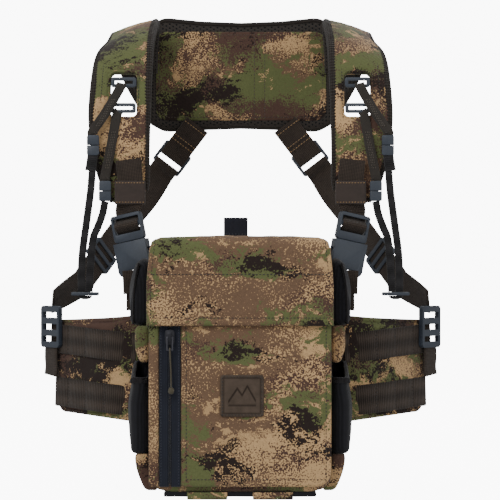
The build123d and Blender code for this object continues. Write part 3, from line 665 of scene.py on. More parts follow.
def cushion(name, us, vs, surface, half, skip=None, metres=None):
    """Closed pad over a grid: surface(u, v) gives point and outward, half(u, v) half its thickness."""
    tops = {}
    verts = []
    for i, u in enumerate(us):
        for j, v in enumerate(vs):
            point, outward = surface(u, v)
            front, back = half(u, v)
            tops[i, j] = len(verts)
            verts.append(point + outward * front)
            verts.append(point - outward * back)
    cells = {(i, j) for i in range(len(us) - 1) for j in range(len(vs) - 1)
             if not (skip and skip((us[i] + us[i + 1]) / 2, (vs[j] + vs[j + 1]) / 2))}
    metres = metres or (lambda u, v: (u, v))
    faces = []
    uvs = []
    for i, j in sorted(cells):
        ring = [(i, j), (i + 1, j), (i + 1, j + 1), (i, j + 1)]
        flat = [metres(us[a], vs[b]) for a, b in ring]
        faces.append(tuple(tops[key] for key in ring))
        uvs.append(flat)
        faces.append(tuple(tops[key] + 1 for key in reversed(ring)))
        uvs.append(list(reversed(flat)))
        beyond = [(i, j - 1), (i + 1, j), (i, j + 1), (i - 1, j)]
        for index, neighbour in enumerate(beyond):
            if neighbour in cells:
                continue
            a, b = ring[index], ring[(index + 1) % 4]
            faces.append((tops[a], tops[a] + 1, tops[b] + 1, tops[b]))
            uvs.append([flat[index], flat[index], flat[(index + 1) % 4], flat[(index + 1) % 4]])
    return make_mesh(name, verts, faces, uvs)


def edge_half(distance, half, rounding, least=0.15 * MM):
    """Half thickness near an edge that is rounded over."""
    part = min(max(distance / rounding, 0.0), 1.0)
    return max(least, half * math.sqrt(1 - (1 - part) ** 2))


def rounded_place(x, z, x0, x1, z0, z1, radius):
    """Moves a grid point of a rectangle so that its corners are round; radius may be (left, right)."""
    if isinstance(radius, tuple):
        radius = radius[0] if x < (x0 + x1) / 2 else radius[1]
    cx = x0 + radius if x < x0 + radius else (x1 - radius if x > x1 - radius else None)
    cz = z0 + radius if z < z0 + radius else (z1 - radius if z > z1 - radius else None)
    if cx is None or cz is None:
        return x, z
    dx, dz = x - cx, z - cz
    length = math.hypot(dx, dz)
    if length < 1e-9:
        return x, z
    reach = max(abs(dx), abs(dz)) / length
    return cx + dx * reach, cz + dz * reach


def ripple(x, y, z, scale, seed=0.0):
    """Smooth noise from -1 to 1."""
    return noise.noise(Vector((x * scale + seed, y * scale + seed * 0.7, z * scale)))


def flat_pad(name, outline, y, half, radius, edge, bulge, wrinkle, lines, grooves=()):
    """Upright pad with outline (x0, x1, z0, z1); bulge swells it towards -Y, grooves are (x, depth)."""
    x0, x1, z0, z1 = outline

    def surface(x, z):
        px, pz = rounded_place(x, z, x0, x1, z0, z1, radius)
        fx = (x - x0) / (x1 - x0) * 2 - 1
        fz = (z - z0) / (z1 - z0) * 2 - 1
        swell = bulge * (1 - fx * fx) * (1 - fz ** 4)
        swell += wrinkle * (ripple(px, 0, pz * 1.4, 38.0) + 0.5 * ripple(px, 1, pz * 1.5, 90.0))
        for place, depth in grooves:
            swell -= depth * math.exp(-((px - place) / (1.6 * MM)) ** 2)
        return np.array([px, y - swell, pz]), np.array(FRONT, float)

    def thickness(x, z):
        thick = edge_half(min(x - x0, x1 - x, z - z0, z1 - z), half, edge)
        return thick, thick
    return cushion(name, spaced(x0, x1, lines[0], edge), spaced(z0, z1, lines[1], edge), surface, thickness)


def soft_box(name, low, high, rounding, cuts, shape=None):
    """Box with round edges; shape(point) may move each vertex."""
    low, high = np.array(low, float), np.array(high, float)
    body = bmesh.new()
    bmesh.ops.create_cube(body, size=1.0)
    bmesh.ops.subdivide_edges(body, edges=body.edges, cuts=cuts, use_grid_fill=True)
    for vert in body.verts:
        share = np.array(vert.co) + 0.5
        eased = 0.5 - 0.5 * np.cos(share * math.pi)
        point = low + (high - low) * (0.35 * share + 0.65 * eased)
        core = np.clip(point, low + rounding, high - rounding)
        away = point - core
        length = np.linalg.norm(away)
        if length > 1e-9:
            point = core + away / length * min(length, rounding) if length > rounding else point
        vert.co = shape(point) if shape else point
    mesh = bpy.data.meshes.new(name)
    bmesh.ops.recalc_face_normals(body, faces=body.faces)
    body.to_mesh(mesh)
    body.free()
    layer = mesh.uv_layers.new(name="metres")
    for loop in mesh.loops:
        co = mesh.vertices[loop.vertex_index].co
        layer.data[loop.index].uv = (co.y + co.x, co.z)
    return linked(name, mesh)


def refined(node, name, bevel):
    """Copy of a hard CAD node with joined faces and rounded edges."""
    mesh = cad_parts[node].data.copy()
    body = bmesh.new()
    body.from_mesh(mesh)
    bmesh.ops.remove_doubles(body, verts=body.verts, dist=2e-6)
    bmesh.ops.dissolve_limit(body, angle_limit=math.radians(4), verts=body.verts, edges=body.edges)
    body.to_mesh(mesh)
    body.free()
    obj = linked(name, mesh)
    modifier = obj.modifiers.new("edges", "BEVEL")
    modifier.width = bevel
    modifier.segments = 2
    modifier.limit_method = "ANGLE"
    modifier.angle_limit = math.radians(35)
    smooth(baked(obj)).data.set_sharp_from_angle(angle=math.radians(50))
    return obj


def puffed(obj, pressure=4.0):
    """Lets a sewn pad swell as stuffed cloth does, each point by no more than CLOTH_SWELL."""
    remesh = obj.modifiers.new("remesh", "REMESH")
    remesh.mode = "VOXEL"
    remesh.voxel_size = CLOTH_VOXEL
    baked(obj)
    count = len(obj.data.vertices)
    start = np.empty(count * 3)
    obj.data.vertices.foreach_get("co", start)
    start = start.reshape(-1, 3)
    cloth = obj.modifiers.new("cloth", "CLOTH")
    cloth.settings.use_pressure = True
    cloth.settings.uniform_pressure_force = pressure
    cloth.settings.effector_weights.gravity = 0
    cloth.settings.quality = 4
    cloth.point_cache.frame_start = 1
    cloth.point_cache.frame_end = CLOTH_FRAMES
    scene = bpy.context.scene
    for number in range(1, CLOTH_FRAMES + 1):
        scene.frame_set(number)
    graph = bpy.context.evaluated_depsgraph_get()
    swollen = obj.evaluated_get(graph)
    end = np.empty(count * 3)
    swollen.data.vertices.foreach_get("co", end)
    obj.modifiers.clear()
    scene.frame_set(1)
    moved = end.reshape(-1, 3) - start
    length = np.linalg.norm(moved, axis=1, keepdims=True)
    moved *= np.minimum(1.0, CLOTH_SWELL / np.maximum(length, 1e-9))
    obj.data.vertices.foreach_set("co", (start + moved).ravel())
    obj.data.update()
    relaxed = obj.modifiers.new("relaxed", "SMOOTH")
    relaxed.factor = 0.5
    relaxed.iterations = 3
    return smooth(baked(obj))


# ---------------------------------------------------------------- geometry nodes

def copies_along(name, sizes_named, sphere, turned, size_of):
    """A geometry tree that sets small spheres, scaled by size_of, at a pitch along curves."""
    tree = bpy.data.node_groups.new(name, "GeometryNodeTree")
    numbers = [(label, "Float") for label in sizes_named]
    for label, kind in [("Geometry", "Geometry"), *numbers, ("Material", "Material")]:
        tree.interface.new_socket(label, in_out="INPUT", socket_type="NodeSocket" + kind)
    tree.interface.new_socket("Geometry", in_out="OUTPUT", socket_type="NodeSocketGeometry")
    graph = Graph(tree)
    start = graph.add("NodeGroupInput").outputs
    run = graph.add("GeometryNodeResampleCurve", {"Curve": start["Geometry"], "Length": start["Pitch"]},
                    mode="LENGTH")
    segments, rings = sphere
    bead = graph.add("GeometryNodeMeshUVSphere", {"Segments": segments, "Rings": rings, "Radius": 0.5})
    size = graph.add("ShaderNodeCombineXYZ", dict(enumerate(size_of(graph, start))))
    inputs = {"Points": run.outputs[0], "Instance": bead.outputs[0], "Scale": size.outputs[0]}
    if turned:
        tangent = graph.add("GeometryNodeInputTangent").outputs[0]
        turn = graph.add("FunctionNodeAlignRotationToVector", {"Vector": tangent}, axis="Z")
        inputs["Rotation"] = turn.outputs[0]
    placed = graph.add("GeometryNodeInstanceOnPoints", inputs)
    real = graph.add("GeometryNodeRealizeInstances", {0: placed.outputs[0]})
    painted = graph.add("GeometryNodeSetMaterial",
                        {"Geometry": real.outputs[0], "Material": start["Material"]})
    tree.links.new(painted.outputs[0], graph.add("NodeGroupOutput").inputs["Geometry"])
    return tree


def stitch_tree():
    """Spindles of thread that lie along their line."""
    return copies_along("stitch_run", ("Pitch", "Length", "Width"), (6, 4), True,
                        lambda graph, start: (start["Width"], start["Width"], start["Length"]))


def coil_tree():
    """Rounded teeth of a zip coil, side by side on an upright line."""
    return copies_along("coil_teeth", ("Pitch", "Width"), (8, 5), False,
                        lambda graph, start: (start["Width"], graph.times(start["Width"], 0.45),
                                              graph.times(start["Pitch"], 0.85)))


def run_nodes(obj, tree, values):
    """Sets a geometry tree's inputs by socket identifier and turns the result into plain mesh."""
    modifier = obj.modifiers.new(tree.name, "NODES")
    modifier.node_group = tree
    for item in tree.interface.items_tree:
        if item.item_type == "SOCKET" and item.in_out == "INPUT" and item.name in values:
            modifier[item.identifier] = values[item.name]
    obj.update_tag()
    bpy.context.view_layer.update()
    graph = bpy.context.evaluated_depsgraph_get()
    mesh = bpy.data.meshes.new_from_object(obj.evaluated_get(graph))
    name = obj.name
    bpy.data.objects.remove(obj)
    return linked(name, mesh)


def curve_object(name, lines, kind="POLY"):
    """Curve object with one run for each list of points."""
    curve = bpy.data.curves.new(name, "CURVE")
    curve.dimensions = "3D"
    for line in lines:
        run = curve.splines.new(kind)
        run.points.add(len(line) - 1)
        for index, point in enumerate(line):
            run.points[index].co = (*point, 1.0)
    return linked(name, curve)


def stitches(name, lines, colour, body=HARNESS, slot="camo_shell_fabric", scale=1.0):
    """Rows of thread along the given lines, as one piece."""
    if "stitch_run" not in bpy.data.node_groups:
        stitch_tree()
    tree = bpy.data.node_groups["stitch_run"]
    material = thread("thread_" + name, colour)
    piece = run_nodes(curve_object(name, lines), tree, {
        "Pitch": sizes().stitch_pitch * scale, "Length": sizes().stitch_length * scale,
        "Width": sizes().stitch_width * scale, "Material": material})
    return finish_piece(piece, material, body, slot)


def both_sides(lines):
    """Lines on the left and their mirror images."""
    return lines + [[(-point[0], point[1], point[2]) for point in line] for line in lines]


def on_surface(obj, line, lift=0.1 * MM):
    """Lays a line of points onto a mesh from the front, and lifts it off a little."""
    hits = []
    towards = Vector(BACK)
    for point in line:
        found, place, _, _ = obj.ray_cast(Vector(point) - towards * 50 * MM, towards)
        hits.append((place if found else Vector(point)) - towards * lift)
    return hits


# ---------------------------------------------------------------- cord first: the zip pull's loop

# Route of the pull cord: across, outwards and up from the foot bar of the pull, in millimetres.
CORD_ROUTE = [
    (1.4, 1.0, -35.1), (1.3, 1.9, -27.5), (1.1, 2.4, -19.5), (0.7, 2.3, -10.5), (0.3, 1.8, -3.6),
    (0.1, 1.5, 1.6), (0.1, -1.5, 1.6),
    (0.3, -1.8, -3.6), (0.7, -2.3, -10.5), (1.1, -2.4, -19.5), (1.3, -1.9, -27.5), (1.4, -1.0, -35.1),
]
CORD_DIAMETER = 1.3 * MM


def round_cord(name, points, radius):
    """Round cord along a smooth line."""
    cord = curve_object(name, [points], "NURBS")
    run = cord.data.splines[0]
    run.order_u = 3
    run.use_endpoint_u = True
    run.resolution_u = 12
    cord.data.bevel_depth = radius
    cord.data.bevel_resolution = 4
    cord.data.use_fill_caps = True
    return cord


def build_zip_cord():
    low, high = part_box("zip_pull")
    foot = Vector(((low.x + high.x) / 2, (low.y + high.y) / 2, low.z + 0.6 * MM))
    points = [foot + Vector((across, -out, up)) * MM for across, out, up in CORD_ROUTE]
    material = thread("braided_cord", colours().pull_cord)
    cord = round_cord("zip_pull_cord", points, CORD_DIAMETER / 2)
    finish_piece(cord, material, "zip_pull", "pull_cord", ["zip_cord"])
    low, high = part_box("zip_knot")
    centre = np.array((low + high) / 2)
    reach = (high.x - low.x) / 2

    def knot_shape(point):
        away = (np.array(point) - centre) / reach
        turn = math.atan2(away[2], away[0]) * 2 + away[1] * 3
        grow = 1.0 + 0.12 * math.sin(turn * 2)
        return Vector(centre + away * reach * grow * np.array([0.85, 0.8, 0.95]))
    knot = soft_box("zip_pull_knot", low, high, reach * 0.98, 9, knot_shape)
    finish_piece(knot, material, "zip_pull", "pull_cord", ["zip_knot"])


# ---------------------------------------------------------------- pack body

def ring(x0, x1, y0, y1, z, radius, steps=6):
    """Points round a rectangle with round corners, at one height."""
    points = []
    for cx, cy, start in ((x1 - radius, y1 - radius, 0), (x0 + radius, y1 - radius, 90),
                          (x0 + radius, y0 + radius, 180), (x1 - radius, y0 + radius, 270)):
        for step in range(steps + 1):
            turn = math.radians(start + 90 * step / steps)
            points.append((cx + radius * math.cos(turn), cy + radius * math.sin(turn), z))
    return points


def densified(points, gap):
    """The same closed ring with extra points on its long sides."""
    result = []
    for a, b in zip(points, points[1:] + points[:1]):
        result.append(np.array(a))
        length = math.dist(a, b)
        extra = int(length / gap)
        for step in range(1, extra + 1):
            result.append(np.array(a) + (np.array(b) - np.array(a)) * step / (extra + 1))
    return result


def tub(name, low, high, wall, radius, floor_wall, bulge, foot=0.0, gap=9 * MM, levels=16):
    """Open-topped soft box as one closed skin: outside, rim, inside and floor."""
    x0, y0, z0 = low
    x1, y1, z1 = high
    rings = []
    heights = [0.0, 0.01, 0.04] + list(np.linspace(0.08, 0.985, levels)) + [1.0]
    for share in heights:
        tuck = 3 * MM * (1 - min(share / 0.04, 1.0)) ** 2
        rings.append((share, tuck, z0 + (z1 - z0) * share, 0.0))
    rings.append((1.0, wall * 0.3, z1 + 0.5 * MM, 0.0))
    rings.append((1.0, wall * 0.7, z1 + 0.5 * MM, 0.0))
    for share in reversed(heights[3:]):
        z = z0 + floor_wall + (z1 - z0 - floor_wall) * share
        rings.append((share, wall, z, 1.0))
    verts = []
    count = 0
    for share, tuck, z, inside in rings:
        base = densified(ring(x0, x1, y0, y1, z, radius), gap)
        count = len(base)
        cx, cy = (x0 + x1) / 2, (y0 + y1) / 2
        hx, hy = (x1 - x0) / 2, (y1 - y0) / 2
        swell = bulge * math.sin(math.pi * min(share, 1.0)) * (1 - 0.5 * inside)
        for point in base:
            fx, fy = (point[0] - cx) / hx, (point[1] - cy) / hy
            shift = np.array([math.copysign(1, fx) * swell * (1 - fy * fy) * (abs(fx) > 0.97), 0, 0])
            above = max(foot - (z - z0), 0.0)
            round_in = foot - math.sqrt(max(foot * foot - above * above, 0.0))
            inward = np.array([-fx * (tuck + round_in), -fy * tuck if abs(fy) > 0.9 else 0, 0])
            verts.append(point + shift + inward)
    faces = []
    for row in range(len(rings) - 1):
        for j in range(count):
            k = (j + 1) % count
            faces.append((row * count + j, row * count + k, (row + 1) * count + k, (row + 1) * count + j))
    faces.append(tuple(range(count)))
    last = (len(rings) - 1) * count
    faces.append(tuple(range(last, last + count)))
    uvs = [[(verts[index][0] + verts[index][1], verts[index][2]) for index in face] for face in faces]
    return make_mesh(name, verts, faces, uvs)


def build_pack_body():
    wall = 4 * MM
    shell = tub("pack_shell_skin", shell_low, shell_high - Vector((0, 0, 2 * MM)), wall, 8 * MM, wall,
                1.2 * MM, 14 * MM)
    finish_piece(shell, camo("camo_shell_cloth"), HARNESS, "camo_shell_fabric", ["pack_shell"])
    low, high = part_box("pack_liner")
    liner = tub("pack_lining", np.array(low) + 0.2 * MM, np.array(high) - mm(0.2, 0.2, 3), 1.2 * MM, 6 * MM,
                1.5 * MM, 0.0)
    finish_piece(liner, tape("lining_cloth", linear(74, 74, 66), 1500.0, 1500.0), HARNESS, "lining_fabric",
                 ["pack_liner"])
    build_chest_pad()
    low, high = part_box("base_panel")
    base = soft_box("base_skin", low, high, 1.4 * MM, 14,
                    lambda p: Vector((p[0], p[1], p[2] - 0.4 * MM * ripple(p[0], p[1], 0, 60.0))))
    finish_piece(base, tape("base_cloth", colours().stretch, 2400.0, 2400.0), HARNESS, "stretch_fabric",
                 ["base_panel"])
    build_base_loops()


def build_chest_pad():
    """Mesh pad against the chest, quilted in three fields."""
    low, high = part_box("chest_panel")
    middle = (low.y + high.y) / 2
    quilt = [low.z + (high.z - low.z) * share for share in (0.33, 0.66)]
    x0, x1, z0, z1 = low.x + 1 * MM, high.x - 1 * MM, low.z + 1 * MM, high.z - 1 * MM

    def surface(x, z):
        px, pz = rounded_place(x, z, x0, x1, z0, z1, 10 * MM)
        groove = sum(2.2 * MM * math.exp(-((pz - place) / (2.4 * MM)) ** 2) for place in quilt)
        return np.array([px, middle - groove, pz]), np.array(BACK, float)

    def half(x, z):
        thick = edge_half(min(x - x0, x1 - x, z - z0, z1 - z), 3.0 * MM, 7 * MM)
        return thick, thick * 0.9
    chest = cushion("chest_mesh_pad", spaced(x0, x1, 22, 6 * MM), spaced(z0, z1, 46, 6 * MM), surface, half)
    finish_piece(chest, spacer("chest_spacer_mesh"), HARNESS, "spacer_mesh", ["chest_panel"])


def build_base_loops():
    """Printed webbing loops under the base."""
    low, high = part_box("base_loops")
    half = 19 * MM
    front_y, under = low.y + 0.7 * MM, low.z + 0.75 * MM
    material = camo("camo_loops")
    for index, sign in enumerate((-1, 1)):
        x = sign * (high.x - half)
        points = [(x, front_y, high.z - 0.4 * MM), (x, front_y, high.z - 4 * MM),
                  (x, front_y + 0.3 * MM, under + 1.6 * MM), (x, front_y + 2 * MM, under),
                  (x, front_y + 6 * MM, under), (x, high.y - 2 * MM, under),
                  (x, high.y - 0.6 * MM, under + 1.2 * MM)]
        normals = [FRONT, FRONT, (0, -1, -0.4), (0, -0.5, -1), (0, 0, -1), (0, 0, -1), (0, 0.6, -1)]
        loop = ribbon(f"base_loop_{index}", points, normals, 2 * half, 1.3 * MM, 50)
        finish_piece(loop, material, HARNESS, "camo_shell_fabric", ["base_loops"] if index == 0 else ())


def build_front():
    """Front pocket panel, the narrow panel beyond the zip, the patch and their seams."""
    wrinkle = sizes().wrinkle
    strip_low, strip_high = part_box("front_strip")
    middle = (panel_low.y + panel_high.y) / 2
    panel = flat_pad("front_pocket_panel", (panel_low.x + 0.2 * MM, panel_high.x, panel_low.z, panel_high.z),
                     middle, 1.9 * MM, (2 * MM, 15 * MM), 3 * MM, 1.2 * MM, wrinkle, (40, 62),
                     ((panel_low.x + 5 * MM, 0.5 * MM), (panel_high.x - 4 * MM, 0.4 * MM)))
    strip = flat_pad("front_edge_panel", (strip_low.x, strip_high.x - 0.2 * MM, strip_low.z, strip_high.z),
                     middle, 1.9 * MM, (4.2 * MM, 1 * MM), 2.6 * MM, 0.2 * MM, wrinkle * 0.5, (6, 60))
    for piece, node in ((panel, "front_panel"), (strip, "front_strip")):
        finish_piece(piece, camo("camo_front_cloth"), HARNESS, "camo_shell_fabric", [node])
    lines = [[(x, panel_low.y, z) for z in np.linspace(panel_low.z + 6 * MM, 40 * MM, 50)]
             for x in (panel_low.x + 5 * MM, panel_high.x - 5 * MM)]
    lines.append([(x, panel_low.y, panel_low.z + 7 * MM)
                  for x in np.linspace(panel_low.x + 6 * MM, panel_high.x - 6 * MM, 50)])
    stitches("front_seams", [on_surface(panel, line) for line in lines], colours().thread)
    build_patch()


def build_patch():
    """Leather patch with a pressed border and a generic ridge line."""
    low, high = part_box("patch")
    cx, cz = (low.x + high.x) / 2, (low.z + high.z) / 2
    w, h = (high.x - low.x) / 2, (high.z - low.z) / 2
    peaks = [(-0.62, -0.28), (-0.22, 0.34), (0.0, 0.02), (0.24, 0.46), (0.64, -0.28)]

    def pressed(x, z):
        fx, fz = (x - cx) / w, (z - cz) / h
        depth = 0.0
        if peaks[0][0] <= fx <= peaks[-1][0]:
            near = abs(fz - np.interp(fx, *zip(*peaks))) * h
            depth += 0.6 * MM * math.exp(-(near / (1.3 * MM)) ** 2)
        if abs(fx) < 0.62:
            depth += 0.35 * MM * math.exp(-(abs(fz + 0.46) * h / (0.9 * MM)) ** 2)
        border = min(w - abs(x - cx), h - abs(z - cz))
        depth += 0.3 * MM * math.exp(-((border - 3.2 * MM) / (0.7 * MM)) ** 2)
        return depth

    front_y = low.y - 0.65 * MM

    def surface(x, z):
        px, pz = rounded_place(x, z, low.x, high.x, low.z, high.z, 3 * MM)
        return np.array([px, front_y, pz]), np.array(FRONT, float)

    def half(x, z):
        distance = min(x - low.x, high.x - x, z - low.z, high.z - z)
        edge = edge_half(distance, 0.8 * MM, 1.2 * MM)
        return max(0.1 * MM, edge - pressed(x, z)), edge + 1.2 * MM
    us, vs = np.linspace(low.x, high.x, 90), np.linspace(low.z, high.z, 86)
    patch = cushion("leather_patch", us, vs, surface, half)
    mark = patch.data.attributes.new("pressed", "FLOAT", "POINT")
    for index, vert in enumerate(patch.data.vertices):
        mark.data[index].value = min(1.0, pressed(vert.co.x, vert.co.z) / (0.4 * MM))
    finish_piece(patch, leather("tooled_leather", colours().leather), HARNESS, "patch_leather", ["patch"])
    inset = 1.9 * MM
    line = [(cx + (w - inset) * across, front_y - 0.9 * MM, cz + (h - inset) * up)
            for across, up in ((-1, -1), (1, -1), (1, 1), (-1, 1), (-1, -1))]
    stitches("patch_seam", [line], linear(20, 17, 15), slot="patch_leather", scale=0.9)


# ---------------------------------------------------------------- zip

def build_zip():
    low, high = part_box("zip_tapes")
    front_y = high.y - 2.6 * MM
    coil_x = (low.x + high.x) / 2
    tape_material = tape("zip_tape_cloth", colours().zip_tape, 1800.0, 5200.0, 0.3, 0.0002)
    for sign, name in ((-1, "zip_tape_left"), (1, "zip_tape_right")):
        x0, x1 = sorted((coil_x + sign * 1.0 * MM, coil_x + sign * ((high.x - low.x) / 2 - 0.2 * MM)))
        piece = flat_pad(name, (x0, x1, low.z, high.z), front_y + 1.2 * MM, 1.2 * MM, 0.5 * MM, 1.2 * MM, 0.0,
                         0.1 * MM, (6, 70), ((coil_x + sign * 5.5 * MM, 0.35 * MM),))
        finish_piece(piece, tape_material, HARNESS, "zip_tape", ["zip_tapes"] if sign < 0 else ())
    tree = coil_tree()
    coil_material = moulded("coil_nylon", linear(24, 26, 34), 0.3)
    lines = [[(coil_x + sign * 0.75 * MM, front_y - 0.1 * MM, z)
              for z in (low.z + (2 + sign * 0.4) * MM, high.z - 2 * MM)] for sign in (-1, 1)]
    coil = run_nodes(curve_object("zip_coil", lines), tree,
                     {"Pitch": 1.5 * MM, "Width": 2.0 * MM, "Material": coil_material})
    finish_piece(coil, coil_material, HARNESS, "zip_tape")
    for node, name, bevel, finish in (
            ("zip_slider", "zip_slider_body", 0.45, metal("slider_enamel", linear(60, 60, 64), 0.28)),
            ("zip_pull", "zip_pull_stirrup", 0.2, metal("pull_steel", linear(84, 84, 90), 0.25))):
        finish_piece(refined(node, name, bevel * MM), finish, node, "zip_metal", [node])
    seams = [[(coil_x + across * MM, front_y - 0.1 * MM, z) for z in (low.z + 3 * MM, 40 * MM)]
             for across in (-8.4, 8.4)]
    stitches("zip_seams", seams, linear(40, 44, 58), slot="zip_tape", scale=0.8)


# ---------------------------------------------------------------- sides

def gusset_narrowing(share):
    """How much narrower the gusset gets towards its top."""
    return 1 - 0.10 * smooth_step((share - 0.45) / 0.55)


def side_piece(node, name, rounding, cuts, moved, material, slot):
    """Soft box on the pack's side; moved(share, outer, across, x, y, z) gives each point's new place."""
    low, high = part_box(node)
    depth = high.x - side
    middle = (low.y + high.y) / 2

    def shape(point):
        x, y, z = point
        share = (z - low.z) / (high.z - low.z)
        outer = smooth_step((-x - side) / depth)
        across = (y - middle) / (high.y - low.y) * 2
        return Vector(moved(share, outer, across, x, y, z))
    piece = soft_box(name, (-side - depth, low.y, low.z), (-side - 0.1 * MM, high.y, high.z), rounding, cuts,
                     shape)
    place_both(piece, material, slot, node)


def build_sides():
    stretch = tape("stretch_cloth", colours().stretch, 900.0, 5200.0, 0.12, 0.00025)
    binding = tape("gusset_binding", linear(30, 28, 30), 3200.0, 3200.0, 0.15)
    build_stretch_pockets(stretch, binding)

    def gathered(share, outer, across, x, y, z):
        fold = math.sin(y * 520 + 1.4 * math.sin(y * 130)) * 1.2 * MM * outer * smooth_step(share * 1.3)
        return x + fold + 9.0 * MM * (1 - share) ** 2, y, z

    def bowed(share, outer, across, x, y, z):
        return x + 3.5 * MM * outer * smooth_step(1 - share * 2.2), y, z

    def arched(share, outer, across, x, y, z):
        belly = (1 - across * across) * math.sin(math.pi * min(1.0, share * 0.8 + 0.1))
        lean = 7 * MM * share ** 3 + 1.0 * MM * math.sin(y * 200 + z * 90) - 3.6 * MM * belly
        y = middle + (y - middle) * gusset_narrowing(share)
        return x + lean * outer, y, z - 4 * MM * across * across * smooth_step(share * 2 - 1)
    low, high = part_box("side_gussets")
    depth = high.x - side
    middle = (low.y + high.y) / 2
    cloth, printed = "camo_shell_fabric", camo("camo_cuffs")
    side_piece("pocket_cuffs", "pocket_cuff_left", 4 * MM, 34, gathered, printed, cloth)
    side_piece("side_panels", "side_panel_left", 5 * MM, 16, bowed, printed, cloth)
    side_piece("side_gussets", "side_gusset_left", 7 * MM, 22, arched, stretch, "stretch_fabric")
    for index, y in enumerate((low.y + 2 * MM, high.y - 2 * MM)):
        points = [(-side - depth + (1.0 + 6.5 * share ** 3) * MM,
                   middle + (y - middle) * gusset_narrowing(share),
                   low.z + (high.z - low.z) * share) for share in np.linspace(0.02, 0.93, 8)]
        normals = [(-1, 0, 0)] * len(points)
        band = ribbon(f"gusset_binding_{index}_left", points, normals, 5 * MM, 2.4 * MM, 40, OVAL)
        place_both(band, binding, "stretch_fabric")


def build_stretch_pockets(stretch, binding):
    """Stretch pockets with a full belly and a hem that drops towards the front."""
    low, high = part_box("side_pockets")
    depth = high.x - side

    def share_of(value, axis):
        return (value - low[axis]) / (high[axis] - low[axis])

    def hem_drop(y):
        """How much lower the pocket's hem sits towards the front."""
        return 13 * MM * smooth_step(1 - share_of(y, 1))
    pocket = tub("stretch_pocket_left", (-side - depth + 0.4 * MM, low.y, low.z),
                 (-side - 0.2 * MM, high.y, high.z), 1.8 * MM, 7.5 * MM, 2 * MM, 0.0, gap=4 * MM, levels=14)
    for vert in pocket.data.vertices:
        share = share_of(vert.co.z, 2)
        if vert.co.x < -side - 4 * MM:
            belly = (math.sin(math.pi * min(max(share_of(vert.co.y, 1), 0.0), 1.0))
                     * math.sin(math.pi * min(max(share, 0.0), 1.0)) ** 0.6)
            vert.co.x += 2.0 * MM * smooth_step((share - 0.55) / 0.4) - 3.4 * MM * belly
            vert.co.x += 0.9 * MM * ripple(vert.co.y, 0, vert.co.z * 0.4, 90.0)
        vert.co.z -= hem_drop(vert.co.y) * smooth_step(share * 1.6 - 0.6)
    place_both(pocket, stretch, "stretch_fabric", "side_pockets")
    rim_line = ring(-side - depth + 1.2 * MM, -side + 2 * MM, low.y + 0.4 * MM, high.y - 0.4 * MM,
                    high.z - 2.5 * MM, 7.5 * MM)
    hem_points = sorted((np.array(p) for p in rim_line if p[0] < -side - 0.5 * MM), key=lambda p: p[1])
    hem_points = [p + (0.0, 0.0, -hem_drop(p[1])) for p in hem_points]
    centre = np.array([-side, (low.y + high.y) / 2, hem_points[0][2]])
    hem = ribbon("pocket_hem_left", hem_points, [p - centre for p in hem_points], 5.5 * MM, 1.6 * MM, 60)
    place_both(hem, binding, "stretch_fabric")


def place_both(left, material, slot, node=None, body=HARNESS, side_bodies=False):
    """Finishes a left piece and its mirror image; node is one CAD node or a pair's common name."""
    right = mirrored(left, left.name.replace("_left", "_right"))
    for piece, word in ((left, "left"), (right, "right")):
        nodes = []
        if node and f"{node}_{word}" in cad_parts:
            nodes = [f"{node}_{word}"]
        elif node and word == "left":
            nodes = [node]
        on = f"{body}_{word}" if side_bodies else body
        finish_piece(piece, material, on, slot, nodes)


# ---------------------------------------------------------------- lid

